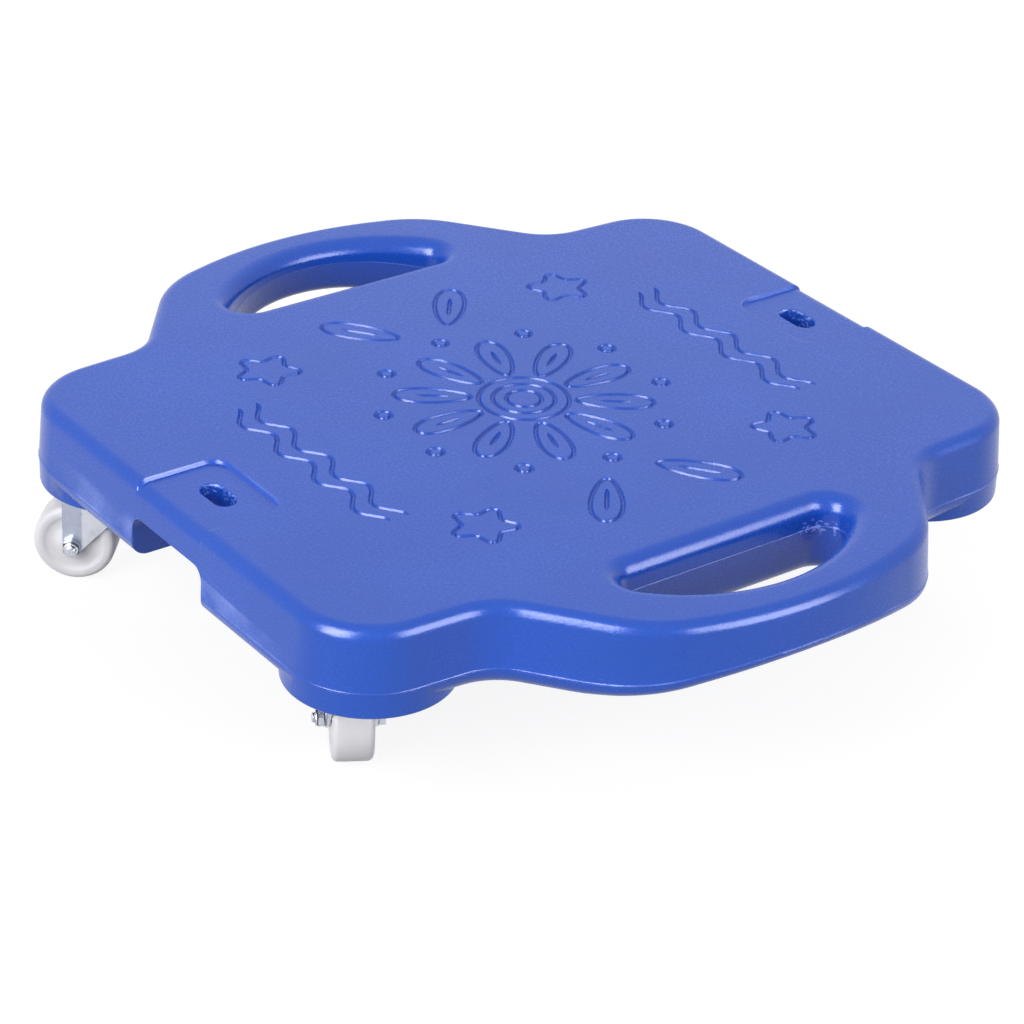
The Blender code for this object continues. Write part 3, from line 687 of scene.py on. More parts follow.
@dataclass(frozen=True)
class WheelNylon(Finish):
    """White nylon that lets a little light through."""

    depth: float
    gloss: float
    grain_scale: float
    grain_height: float
    inner_light: float = 0.35
    inner_reach: tuple[float, float, float] = (1.0, 0.95, 0.9)

    def material(self, effects: Effects) -> bpy.types.Material:
        """Build the material.

        Args:
            effects: The shared node groups.

        Returns:
            The material.
        """
        sheet, shader, base = self.start(effects)
        grain = sheet.put("ShaderNodeGroup", node_tree=effects.grain)
        sheet.tree.links.new(base["Position"], grain.inputs["Position"])
        grain.inputs["Scale"].default_value = self.grain_scale
        grain.inputs["Waviness"].default_value = 1.0
        shader.inputs["Specular IOR Level"].default_value = self.gloss
        bump = sheet.put("ShaderNodeBump", {"Height": grain.outputs["Height"], "Distance": self.grain_height})
        sheet.tree.links.new(base["Colour"], shader.inputs["Base Color"])
        sheet.tree.links.new(base["Roughness"], shader.inputs["Roughness"])
        sheet.tree.links.new(bump.outputs[0], shader.inputs["Normal"])
        shader.inputs["Subsurface Weight"].default_value = self.inner_light
        shader.inputs["Subsurface Radius"].default_value = self.inner_reach
        shader.inputs["Subsurface Scale"].default_value = self.depth
        return bpy.data.materials[self.name]


@dataclass(frozen=True)
class PlatedSteel(Finish):
    """Zinc-plated pressed steel with faint rolling lines, a spangled tone, and strips painted darker as
    shade.
    """

    strip_shade: tuple[float, float, float]
    line_height: float
    line_scale: float = 500.0
    line_stretch: float = 9.0

    def material(self, effects: Effects) -> bpy.types.Material:
        """Build the material.

        Args:
            effects: The shared node groups.

        Returns:
            The material.
        """
        sheet, shader, base = self.start(effects)
        drawn = {"Vector": base["Position"], "Scale": (1.0, 1.0, self.line_stretch)}
        stretch = sheet.put("ShaderNodeMapping", drawn)
        lines = sheet.noise(stretch.outputs[0], self.line_scale, 3.0)
        bump = sheet.put("ShaderNodeBump", {"Height": lines.outputs[0], "Distance": self.line_height})
        # Marked strips take a darker, bluer zinc: painted shade in place of their darker reflection.
        strip = sheet.put("ShaderNodeAttribute", attribute_name="strip_shade").outputs["Fac"]
        colour = sheet.blend(strip, base["Colour"], (*self.strip_shade, 1.0))
        sheet.tree.links.new(colour, shader.inputs["Base Color"])
        sheet.tree.links.new(base["Roughness"], shader.inputs["Roughness"])
        sheet.tree.links.new(bump.outputs[0], shader.inputs["Normal"])
        shader.inputs["Metallic"].default_value = 1.0
        return bpy.data.materials[self.name]


@dataclass(frozen=True)
class Palette:
    """The finishes of the whole board."""

    deck: MouldedPlastic = MouldedPlastic(
        name="blue_polyethylene",
        colour=(0.008, 0.068, 0.430),
        tone=(0.011, 0.078, 0.475),
        roughness=0.25,
        roughness_spread=0.02,
        tone_scale=14.0,
        speckle=0.5,
        pale=(0.26, 0.36, 0.86),
        gloss=0.46,
        grain_scale=950.0,
        grain_height=0.000036,
        waviness=4.0,
    )
    nylon: WheelNylon = WheelNylon(
        name="white_nylon",
        colour=(0.64, 0.63, 0.66),
        tone=(0.72, 0.71, 0.735),
        roughness=0.50,
        roughness_spread=0.05,
        tone_scale=60.0,
        speckle=0.4,
        depth=0.004,
        gloss=0.28,
        grain_scale=1400.0,
        grain_height=0.00002,
    )
    zinc: PlatedSteel = PlatedSteel(
        name="zinc_plate",
        colour=(0.50, 0.52, 0.58),
        tone=(0.60, 0.62, 0.68),
        roughness=0.30,
        roughness_spread=0.06,
        tone_scale=120.0,
        speckle=0.8,
        strip_shade=(0.37, 0.40, 0.50),
        line_height=0.00002,
    )
    dark_steel: PlatedSteel = PlatedSteel(
        name="greased_steel",
        colour=(0.34, 0.33, 0.31),
        tone=(0.46, 0.45, 0.43),
        roughness=0.24,
        roughness_spread=0.05,
        tone_scale=200.0,
        speckle=0.6,
        strip_shade=(0.20, 0.20, 0.20),
        line_height=0.00001,
    )
    # Near-black steel for the nut's recess and shoulder ring: painted shade.
    shaded_steel: PlatedSteel = PlatedSteel(
        name="painted_shade_steel",
        colour=(0.07, 0.08, 0.10),
        tone=(0.11, 0.12, 0.15),
        roughness=0.30,
        roughness_spread=0.05,
        tone_scale=200.0,
        speckle=0.5,
        strip_shade=(0.05, 0.05, 0.05),
        line_height=0.00001,
    )


class Wardrobe:
    """Turns finishes into materials once and dresses pieces in them."""

    def __init__(self, palette: Palette, effects: Effects) -> None:
        """Build the materials of a palette.

        Args:
            palette: The finishes.
            effects: The shared node groups.
        """
        self.deck = palette.deck.material(effects)
        self.nylon = palette.nylon.material(effects)
        self.zinc = palette.zinc.material(effects)
        self.dark_steel = palette.dark_steel.material(effects)
        self.shaded_steel = palette.shaded_steel.material(effects)


def finish_piece(piece: Piece, node: str, body: str) -> None:
    """Let a finished piece stand for its CAD node.

    Args:
        piece: The finished piece, its place in its mesh.
        node: The node that it replaces.
        body: The body that it rides on.
    """
    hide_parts(node)
    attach(piece, body)
    LOG.info("%s: %d faces on %s", piece.name, len(piece.data.polygons), body)


@dataclass
class Motifs:
    """The lines engraved in the deck's top: a flower, leaves, stars, dots and waves."""

    width: float = 0.0028
    depth: float = 0.0014
    step: float = 0.0013
    petals: int = 10
    petal_middle: float = 0.0440
    petal_length: float = 0.0370
    petal_width: float = 0.0165
    petal_vein: float = 0.40
    rings: tuple[float, ...] = (0.0085, 0.0150, 0.0218)
    dot_circle: float = 0.0700
    dot_radius: float = 0.0036
    star_place: tuple[float, float] = (0.0900, 0.0880)
    star_reach: float = 0.0200
    star_waist: float = 0.0096
    star_round: float = 0.0030
    leaf_place: float = 0.1010
    leaf_length: float = 0.0400
    leaf_width: float = 0.0170
    leaf_vein: float = 0.5
    leaf_swell: tuple[float, float] = (0.86, 0.20)
    leaf_lean: float = 38.0
    leaf_side: float = 0.0270
    wave_from_middle: float = 0.1150
    wave_spacing: float = 0.0100
    wave_reach: float = 0.0640
    wave_length: float = 0.0320
    wave_height: float = 0.0042
    run_out: tuple[int, float] = (3, 0.35)
    lines: list[tuple[Points, bool]] = field(default_factory=list)

    def add_ring(self, x: float, y: float, radius: float) -> None:
        """Draw a circle.

        Args:
            x: Where it lies.
            y: Where it lies.
            radius: The circle's radius.
        """
        count = max(14, math.ceil(math.tau * radius / self.step))
        ring = [
            Vector((x + radius * math.cos(math.tau * k / count), y + radius * math.sin(math.tau * k / count)))
            for k in range(count)
        ]
        self.lines.append((ring, True))

    def add_leaf(self, x: float, y: float, length: float, width: float, angle: float, vein: float) -> None:
        """Draw a leaf or petal with its vein.

        Args:
            x: Where its middle lies.
            y: Where its middle lies.
            length: From tip to tip.
            width: Across its widest place.
            angle: The way it points, in degrees.
            vein: The vein's share of the length.
        """
        count = math.ceil(2.3 * length / self.step)
        turn = Matrix.Rotation(math.radians(angle), 2)
        ring = []
        for k in range(count):
            a = math.tau * k / count
            swell = self.leaf_swell[0] + self.leaf_swell[1] * math.cos(a)
            ring.append(turn @ Vector((length / 2 * math.cos(a), width / 2 * math.sin(a) * swell)))
        self.lines.append(([Vector((x, y)) + point for point in ring], True))
        steps = math.ceil(length * vein / self.step)
        run = [turn @ Vector((length * vein * (k / steps - 0.5), 0.0)) for k in range(steps + 1)]
        self.lines.append(([Vector((x, y)) + point for point in run], False))

    def add_star(self, x: float, y: float, angle: float) -> None:
        """Draw a five-pointed star with rounded corners.

        Args:
            x: Where it lies.
            y: Where it lies.
            angle: The way its first tip points, in degrees.
        """
        corners = []
        for k in range(10):
            reach = self.star_reach if k % 2 == 0 else self.star_waist
            a = math.radians(angle + 36 * k)
            corners.append((x + reach * math.cos(a), y + reach * math.sin(a), self.star_round))
        self.lines.append((filled(rounded(corners, self.step), self.step), True))

    def add_wave(self, y: float, phase: float) -> None:
        """Draw a wavy line across the deck.

        Args:
            y: Where the line runs.
            phase: Where the wave starts, in radians.
        """
        count = math.ceil(2 * self.wave_reach * 1.15 / self.step)
        run = []
        for k in range(count + 1):
            x = self.wave_reach * (2 * k / count - 1)
            run.append(Vector((x, y + self.wave_height * math.sin(math.tau * x / self.wave_length + phase))))
        self.lines.append((run, False))

    def draw(self) -> None:
        """Lay out the whole drawing."""
        for radius in self.rings:
            self.add_ring(0.0, 0.0, radius)
        for k in range(self.petals):
            angle = 360.0 * (k + 0.5) / self.petals
            a = math.radians(angle)
            x, y = self.petal_middle * math.cos(a), self.petal_middle * math.sin(a)
            self.add_leaf(x, y, self.petal_length, self.petal_width, angle, self.petal_vein)
            b = math.radians(360.0 * k / self.petals)
            self.add_ring(self.dot_circle * math.cos(b), self.dot_circle * math.sin(b), self.dot_radius)
        for x_side in (-1, 1):
            for y_side in (-1, 1):
                x, y = x_side * self.star_place[0], y_side * self.star_place[1]
                self.add_star(x, y, 90.0 * y_side)
                lean = math.degrees(math.atan2(y_side, x_side)) - x_side * y_side * (45 - self.leaf_lean)
                x, y = x_side * self.leaf_place, y_side * self.leaf_side
                self.add_leaf(x, y, self.leaf_length, self.leaf_width, lean, self.leaf_vein)
        for y_side in (-1, 1):
            for k in range(2):
                self.add_wave(y_side * (self.wave_from_middle + k * self.wave_spacing), math.pi / 2)

    def section(self) -> Piece:
        """The groove's cross-section as a flat closed curve: soft shoulders and a round bottom.

        Returns:
            The curve object.
        """
        half = [(0.0, -1.0), (0.24, -0.94), (0.46, -0.74), (0.68, -0.40), (0.86, -0.11)]
        half += [(1.04, 0.012), (1.04, 1.0)]
        run = half + [(-x, y) for x, y in reversed(half[1:])]
        data = bpy.data.curves.new("groove_section", "CURVE")
        data.dimensions = "2D"
        spline = data.splines.new("POLY")
        spline.points.add(len(run) - 1)
        for point, (x, y) in zip(spline.points, run):
            point.co = (x * self.width / 2, y * self.depth, 0.0, 1.0)
        spline.use_cyclic_u = True
        item = bpy.data.objects.new("groove_section", data)
        bpy.context.scene.collection.objects.link(item)
        return item

    def cutter(self, height: float) -> Piece:
        """The solid that cuts every line into a face at a height.

        Args:
            height: Where the face lies.

        Returns:
            One object that holds a tube along each line.
        """
        self.draw()
        fading, thin = self.run_out
        data = bpy.data.curves.new("groove_lines", "CURVE")
        data.dimensions = "2D"
        for points, closed in self.lines:
            spline = data.splines.new("POLY")
            spline.points.add(len(points) - 1)
            for index, (spot, point) in enumerate(zip(spline.points, points)):
                spot.co = (point.x, point.y, 0.0, 1.0)
                to_end = min(index, len(points) - 1 - index)
                spot.radius = 1.0 if closed else thin + (1.0 - thin) * min(1.0, to_end / fading)
            spline.use_cyclic_u = closed
        item = bpy.data.objects.new("groove_lines", data)
        item.location.z = height
        bpy.context.scene.collection.objects.link(item)
        section = self.section()
        data.bevel_mode = "OBJECT"
        data.bevel_object = section
        data.use_fill_caps = True
        take(item)
        bpy.ops.object.convert(target="MESH")
        bpy.data.objects.remove(section, do_unlink=True)
        fix_place(item)
        tidy_solid(item)
        return item


@dataclass
class Deck:
    """The moulded board: bowed handles, drafted walls, hand holes, link ends and bosses."""

    top: float = 0.0960
    length: float = 0.4000
    reach: float = 0.4424
    bow_radius: float = 0.1930
    bow_angle: float = 16.4
    shoulder_half_width: float = 0.0798
    shoulder_radius: float = 0.0620
    waist_half_width: float = 0.1486
    waist_from_edge: float = 0.0753
    waist_radius: float = 0.0280
    corner_half_width: float = 0.1445
    corner_radius: float = 0.0402
    thickness: float = 0.0406
    top_round: float = 0.0065
    parting_depth: float = 0.0309
    upper_draft: float = 0.0020
    lower_round: float = 0.0088
    lower_draft: float = 0.0002
    ridge: float = 0.0003
    ridge_half_width: float = 0.0006
    rise: float = 0.0124
    rise_width: float = 0.0662
    rise_run: float = 0.0430
    rise_half_span: float = 0.0980
    rise_fade: float = 0.0150
    handle_bar: float = 0.0261
    hole_grip: float = 0.0430
    hole_arc_radius: float = 0.0836
    hole_corner_radius: float = 0.0103
    hole_rim: float = 0.0090
    hole_throat_depth: float = 0.0148
    hole_flare: float = 0.0020
    hole_foot: float = 0.0090
    pad_width: float = 0.0560
    pad_length: float = 0.0463
    pad_depth: float = 0.0018
    pad_corner: float = 0.0090
    pad_shoulder: float = 0.0011
    pad_fade: float = 0.0120
    pad_margin: float = 0.0060
    pad_grid: float = 0.0040
    pad_refining: tuple[tuple[float, int], ...] = ((0.0040, 3), (0.0017, 1))
    slot_length: float = 0.0220
    slot_width: float = 0.0110
    slot_from_edge: float = 0.0285
    slot_lip: float = 0.0010
    channel_width: float = 0.0600
    channel_length: float = 0.0500
    channel_roof_depth: float = 0.0180
    channel_round: float = 0.0070
    channel_lip: float = 0.0014
    boss_drop: float = 0.00315
    boss_inset: float = 0.0004
    boss_round: float = 0.0012
    blow_hole: tuple[float, float] = (0.0450, 0.0040)
    kiss_foot: float = 0.0125
    kiss_tip: float = 0.0070
    kiss_roof: float = 0.0050
    kiss_round: float = 0.0020
    kiss_columns: tuple[float, float] = (0.0450, 0.1150)
    kiss_spacing: float = 0.0740
    pilot_radius: float = 0.0022
    pilot_spacing: tuple[float, float] = (0.0400, 0.0280)
    pilot_depth: float = 0.0106
    cutter_reach: float = 0.0040
    parting_wear: float = 1.0
    throat_wear: float = 0.7
    lip_wear: float = 0.8
    pad_painted_highlight: float = 0.6
    slot_wear: float = 0.85
    slot_wear_depth: float = 0.0060
    scuff_place: float = 0.0560
    scuff_reach: float = 0.0130
    scuff_depth: float = 0.0075
    step: float = 0.0028

    def outline(self) -> Points:
        """The parting line round the whole deck, anticlockwise.

        Returns:
            The ring of points.
        """
        bow = math.radians(self.bow_angle)
        tip_x = self.reach / 2 + self.bow_radius * (1 / math.cos(bow) - 1)
        shoulder_x = tip_x - math.tan(bow) * self.shoulder_half_width
        waist_y, edge_y = self.length / 2 - self.waist_from_edge, self.length / 2
        tip, shoulder = Vector((tip_x, 0.0)), Vector((shoulder_x, self.shoulder_half_width))
        waist = Vector((self.waist_half_width, waist_y))
        half = (tip - shoulder).angle(waist - shoulder) / 2
        spare = (tip - shoulder).length - self.bow_radius * math.tan(bow)
        shoulder_radius = min(self.shoulder_radius, spare * math.tan(half) - CLOSE)
        quadrant = [
            (*shoulder, shoulder_radius),
            (*waist, self.waist_radius),
            (self.corner_half_width, edge_y, self.corner_radius),
        ]
        half_ring = [(tip_x, 0.0, self.bow_radius)] + quadrant
        half_ring += [(-x, y, radius) for x, y, radius in reversed(quadrant)]
        ring = rounded(half_ring + [(-x, -y, radius) for x, y, radius in half_ring], self.step)
        straight = self.length / 2 - WELD
        dense: Points = []
        for index, point in enumerate(ring):
            after = ring[(index + 1) % len(ring)]
            on_edge = min(abs(point.y), abs(after.y)) > straight
            count = 1 if on_edge else max(1, round((after - point).length / (2 * self.step)))
            dense += [point.lerp(after, part / count) for part in range(count)]
        return dense

    def hole_outline(self, side: int) -> Points:
        """The throat of one hand hole, anticlockwise.

        Args:
            side: 1 for the hole at +X, -1 for the one at -X.

        Returns:
            The ring of points.
        """
        throat_x = self.reach / 2 - self.handle_bar
        centre_x, inner_x = throat_x - self.hole_arc_radius, throat_x - self.hole_grip
        small = self.hole_corner_radius
        turn = math.acos((inner_x + small - centre_x) / (self.hole_arc_radius - small))
        tip_x = centre_x + self.hole_arc_radius / math.cos(turn)
        corner_y = (self.hole_arc_radius - (inner_x - centre_x) * math.cos(turn)) / math.sin(turn)
        corners = [(tip_x, 0.0, self.hole_arc_radius)]
        corners += [(inner_x, corner_y, small), (inner_x, -corner_y, small)]
        ring = filled(rounded(corners, self.step / 2), self.step * 1.5)
        return ring if side > 0 else [Vector((-p.x, p.y)) for p in reversed(ring)]

    def wall_section(self) -> list[tuple[float, float]]:
        """Inset and depth down the outer wall, from the top face to the underside.

        Returns:
            Pairs of inset and depth.
        """
        draft, top, foot = self.upper_draft, self.top_round, self.lower_round
        run = [(draft + top + x, top + y) for x, y in arc((0.0, 0.0), top, -90.0, -180.0, 9)]
        upper, lower = self.parting_depth - self.ridge_half_width, self.parting_depth + self.ridge_half_width
        for share in (0.12, 0.25, 0.5, 0.75, 1.0):
            run.append((draft + (self.ridge - draft) * share, top + (upper - top) * share))
        third = self.ridge_half_width / 3
        run += [(0.0, self.parting_depth - third), (0.0, self.parting_depth + third), (self.ridge, lower)]
        start = self.thickness - foot
        run += [(self.lower_draft + foot + x, start + y) for x, y in arc((0.0, 0.0), foot, 180.0, 90.0, 7)]
        return run

    def hole_section(self) -> list[tuple[float, float]]:
        """Distance out from the throat and depth, from the top face to the underside.

        Returns:
            Pairs of distance and depth.
        """
        rim, foot, throat = self.hole_rim, self.hole_foot, self.hole_throat_depth
        run = [(rim + x, rim + y) for x, y in arc((0.0, 0.0), rim, -90.0, -180.0, 12)]
        third = self.ridge_half_width / 3
        run += [(0.0, throat - third), (-self.ridge / 2, throat), (0.0, throat + third)]
        start = self.thickness - foot
        run.append((self.hole_flare / 2, (throat + start) / 2))
        run += [(self.hole_flare + foot + x, start + y) for x, y in arc((0.0, 0.0), foot, 180.0, 90.0, 8)]
        return run

    def skin(self) -> Piece:
        """The outer wall and both holes' walls, lofted and closed with a top and an underside.

        Returns:
            The closed skin.
        """
        edge, holes = self.outline(), [self.hole_outline(side) for side in (-1, 1)]
        rings = [self.ring(edge, -inset, depth) for inset, depth in self.wall_section()]
        walls = [loft("wall", rings, capped=False)]
        for hole in holes:
            rings = [self.ring(hole, out, depth) for out, depth in self.hole_section()]
            walls.append(loft("hole", rings, capped=False))
        board = joined("moulded_deck", walls)
        with editing(board):
            for level in (self.top, self.top - self.thickness):
                pick(board, Kind.EDGE, lambda e: e.is_boundary and abs(middle(e).z - level) < CLOSE)
                bpy.ops.mesh.fill(use_beauty=True)
            bpy.ops.mesh.select_all(action="SELECT")
            bpy.ops.mesh.normals_make_consistent(inside=False)
        return board

    def ring(self, outline: Points, distance: float, depth: float) -> Points:
        """An outline moved outwards by a distance and set at a depth under the top face."""
        return [Vector((p.x, p.y, self.top - depth)) for p in outset(outline, distance)]

    def slice_at(self, board: Piece, spot: Vector, across: Vector, test: Callable[..., bool]) -> None:
        """Cut the faces that pass a test along a plane, in edit mode."""
        if pick(board, Kind.FACE, test):
            bpy.ops.mesh.bisect(plane_co=spot, plane_no=across)

    def sweep_handles_up(self, board: Piece) -> None:
        """Raise the handles' undersides, as a hand needs room under them.

        Args:
            board: The deck so far.
        """
        start, span = self.reach / 2 - self.rise_width, self.rise_half_span
        step = self.rise_run / 14
        with editing(board):
            for side in (-1, 1):

                def under_handle(face: bmesh.types.BMFace) -> bool:
                    """Whether a face lies in the underside at this handle."""
                    return face.normal.z < -0.99 and side * face.calc_center_median().x > start - step

                for k in range(20):
                    spot = Vector((side * (start + step * k), 0.0, 0.0))
                    self.slice_at(board, spot, Vector((1.0, 0.0, 0.0)), lambda f: f.normal.z < -0.99)
                for k in range(-10, 11):
                    spot = Vector((0.0, span * k / 10, 0.0))
                    self.slice_at(board, spot, Vector((0.0, 1.0, 0.0)), under_handle)
        for vert in board.data.vertices:
            vert.co.z = self.top - self.rising(self.top - vert.co.z, vert.co.x, vert.co.y)

    def rising(self, depth: float, x: float, y: float) -> float:
        """Depth of the skin at a place, where the handles' undersides sweep up outwards.

        Args:
            depth: Depth under the top face before the sweep.
            x: The place.
            y: The place.

        Returns:
            The depth after the sweep.
        """
        along = math.cos(math.pi / 2 * min(abs(y) / self.rise_half_span, 1.0))
        out = abs(x) - self.reach / 2 + self.rise_width
        rise = self.rise * along * ease(out / self.rise_run)
        return depth * (1 - rise / self.thickness * ease(depth / self.rise_fade))

    def pad_border(self, x: float, y: float) -> float:
        """Distance outside a link pad's border, negative on the pad.

        Args:
            x: The place.
            y: The place.

        Returns:
            The distance.
        """
        out_x = abs(x) - (self.pad_width / 2 - self.pad_corner)
        out_y = self.length / 2 - self.pad_length + self.pad_corner - abs(y)
        corner = math.hypot(max(out_x, 0.0), max(out_y, 0.0))
        return corner + min(max(out_x, out_y), 0.0) - self.pad_corner

    def press_pads(self, board: Piece) -> None:
        """Press the two link pads into the top, finely divided round their borders.

        Args:
            board: The deck so far.
        """
        inner = self.length / 2 - self.pad_length - self.pad_margin
        reach = self.pad_width / 2 + self.pad_margin
        foot = self.top - self.pad_fade - self.pad_margin
        along, across = Vector((1.0, 0.0, 0.0)), Vector((0.0, 1.0, 0.0))

        def on_top(face: bmesh.types.BMFace) -> bool:
            """Whether a face lies in the top face."""
            return face.normal.z > 0.9999 and face.calc_center_median().z > self.top - CLOSE

        with editing(board):
            for side in (-1, 1):
                self.slice_at(board, Vector((0.0, side * inner, 0.0)), across, on_top)
                pick(board, Kind.FACE, lambda f: on_top(f) and side * f.calc_center_median().y > inner)
                bpy.ops.mesh.dissolve_faces()

                def near_end(face: bmesh.types.BMFace) -> bool:
                    """Whether a face of the top or the upper wall touches this end of the deck."""
                    centre = face.calc_center_median()
                    return side * centre.y > inner and centre.z > foot

                count = round(2 * reach / self.pad_grid)
                for k in range(count + 1):
                    spot = Vector((reach * (2 * k / count - 1), 0.0, 0.0))
                    self.slice_at(board, spot, along, near_end)
                rows = round((self.length / 2 - inner) / self.pad_grid)
                for k in range(1, rows):
                    row = inner + (self.length / 2 - self.upper_draft - inner) * k / rows
                    spot = Vector((0.0, side * row, 0.0))
                    self.slice_at(board, spot, across, lambda f: on_top(f) and near_end(f))
            for margin, cuts in self.pad_refining:

                def near_border(face: bmesh.types.BMFace) -> bool:
                    """Whether a face lies close to a pad's border.

                    Args:
                        face: A face of the deck.

                    Returns:
                        Whether it is to be divided.
                    """
                    centre = face.calc_center_median()
                    if centre.z < foot or abs(centre.y) < inner:
                        return False
                    return abs(self.pad_border(centre.x, centre.y)) < margin

                pick(board, Kind.FACE, near_border)
                bpy.ops.mesh.subdivide(number_cuts=cuts, quadcorner="INNERVERT", ngon=False)
        for vert in board.data.vertices:
            depth = self.top - vert.co.z
            if depth < self.pad_fade and abs(vert.co.y) > inner:
                out = self.pad_border(vert.co.x, vert.co.y)
                share = 1 - ease(0.5 + out / self.pad_shoulder)
                vert.co.z -= self.pad_depth * share * (1 - ease(depth / self.pad_fade))

    def corners(self) -> list[tuple[float, float]]:
        """The centres of the corner rounds, which the bosses share.

        Returns:
            The four centres.
        """
        waist = Vector((self.waist_half_width, self.length / 2 - self.waist_from_edge))
        corner = Vector((self.corner_half_width, self.length / 2))
        down, across = (waist - corner).normalized(), Vector((-1.0, 0.0))
        half = down.angle(across) / 2
        centre = corner + (down + across).normalized() * self.corner_radius / math.sin(half)
        return [(x * centre.x, y * centre.y) for x in (-1, 1) for y in (-1, 1)]

    def bosses(self) -> Piece:
        """The four round caster seats under the corners.

        Returns:
            The joined bosses.
        """
        bottom = self.top - self.thickness - self.boss_drop
        top = self.top - self.parting_depth - 2 * self.ridge_half_width
        made = []
        for x, y in self.corners():
            bpy.ops.object.select_all(action="DESELECT")
            bpy.ops.mesh.primitive_cylinder_add(
                vertices=120,
                radius=self.corner_radius - self.boss_inset,
                depth=top - bottom,
                location=(x, y, (top + bottom) / 2),
            )
            boss = named("boss")
            fix_place(boss)
            round_over(boss, lambda e: max(v.co.z for v in e.verts) < bottom + CLOSE, self.boss_round, 4)
            made.append(boss)
        return joined("bosses", made)

    def channel(self, side: int) -> Piece:
        """The cutter of the link channel at one end, flared at its mouth.

        Args:
            side: 1 for the end at +Y, -1 for the one at -Y.

        Returns:
            The cutter.
        """
        width, low = self.channel_width / 2, self.top - self.thickness - 0.010
        roof = self.top - self.channel_roof_depth
        small = 0.0004
        corners = [(-width, low, small), (width, low, small), (width, roof, self.channel_round)]
        corners += [(-width, roof, self.channel_round)]
        outline = filled(rounded(corners, 0.0010), 0.006)
        lip, edge = self.channel_lip, self.length / 2
        run = [(0.0, edge - self.channel_length)]
        run += [(lip + x, edge - lip + y) for x, y in arc((0.0, 0.0), lip, 180.0, 100.0, 5)]
        run.append((run[-1][0] + self.cutter_reach, edge + self.cutter_reach))
        rings = []
        for out, y in run:
            rings.append([Vector((p.x, side * y, p.y)) for p in outset(outline, out)])
        return loft("channel", rings)

    def slot(self, side: int) -> Piece:
        """The cutter of the slot at one end, with a lip rounded over at the pad.

        Args:
            side: 1 for the end at +Y, -1 for the one at -Y.

        Returns:
            The cutter.
        """
        length, width = self.slot_length / 2, self.slot_width / 2
        radius = width - CLOSE
        corners = [(-length, -width, radius), (length, -width, radius), (length, width, radius)]
        outline = rounded(corners + [(-length, width, radius)], 0.0008)
        floor, roof, lip = self.top - self.pad_depth, self.top - self.channel_roof_depth, self.slot_lip
        run = [(lip, roof - 0.010), (lip, roof - 0.0002)]
        run += [(lip + x, roof + lip - 0.0002 - y) for x, y in arc((0.0, 0.0), lip, 90.0, 180.0, 4)[1:]]
        run += [(lip + x, floor - lip + y) for x, y in arc((0.0, 0.0), lip, 180.0, 96.0, 5)]
        run.append((run[-1][0] + 0.0003, floor + self.cutter_reach))
        centre = side * (self.length / 2 - self.slot_from_edge)
        rings = [[Vector((p.x, p.y + centre, z)) for p in outset(outline, out)] for out, z in run]
        return loft("slot", rings)

    def underside_holes(self, kingpins: Sequence[tuple[float, float]]) -> Piece:
        """The kiss-offs, the blow hole and the pilot holes as one cutter.

        Args:
            kingpins: Where the casters' swivel axes stand.

        Returns:
            The joined cutter.
        """
        under, roof = self.top - self.thickness, self.top - self.kiss_roof
        foot, tip, turn = self.kiss_foot, self.kiss_tip, self.kiss_round
        start = under - self.cutter_reach
        profile = [(0.0, start), (foot + turn + 0.0003, start)]
        profile += [(foot + turn + x, under + turn + y) for x, y in arc((0.0, 0.0), turn, -95.0, -172.0, 6)]
        profile += [(tip - turn + x, roof - turn + y) for x, y in arc((0.0, 0.0), turn, 8.0, 90.0, 5)]
        profile.append((0.0, roof))
        cone = turned("kiss_off", profile, 40)
        made = []
        for column, rows in zip(self.kiss_columns, ((-1.5, -0.5, 0.5, 1.5), (-0.5, 0.5))):
            for row in rows:
                for x in (-column, column):
                    spot = (x, row * self.kiss_spacing, 0.0)
                    made.append(placed_copy(cone, "kiss_off", Matrix.Translation(spot)))
        bpy.data.objects.remove(cone, do_unlink=True)
        seat = under - self.boss_drop
        drill = rod("pilot", self.pilot_radius, seat - self.cutter_reach, seat + self.pilot_depth, 20)
        along, across = self.pilot_spacing[0] / 2, self.pilot_spacing[1] / 2
        for x, y in kingpins:
            for x_side in (-1, 1):
                for y_side in (-1, 1):
                    spot = (x + x_side * along, y + y_side * across, 0.0)
                    made.append(placed_copy(drill, "pilot", Matrix.Translation(spot)))
        bpy.data.objects.remove(drill, do_unlink=True)
        x, radius = self.blow_hole
        blow = rod("blow_hole", radius, start, under + 0.012, 32)
        made.append(placed_copy(blow, "blow_hole", Matrix.Translation((x, 0.0, 0.0))))
        bpy.data.objects.remove(blow, do_unlink=True)
        return joined("underside_holes", made)

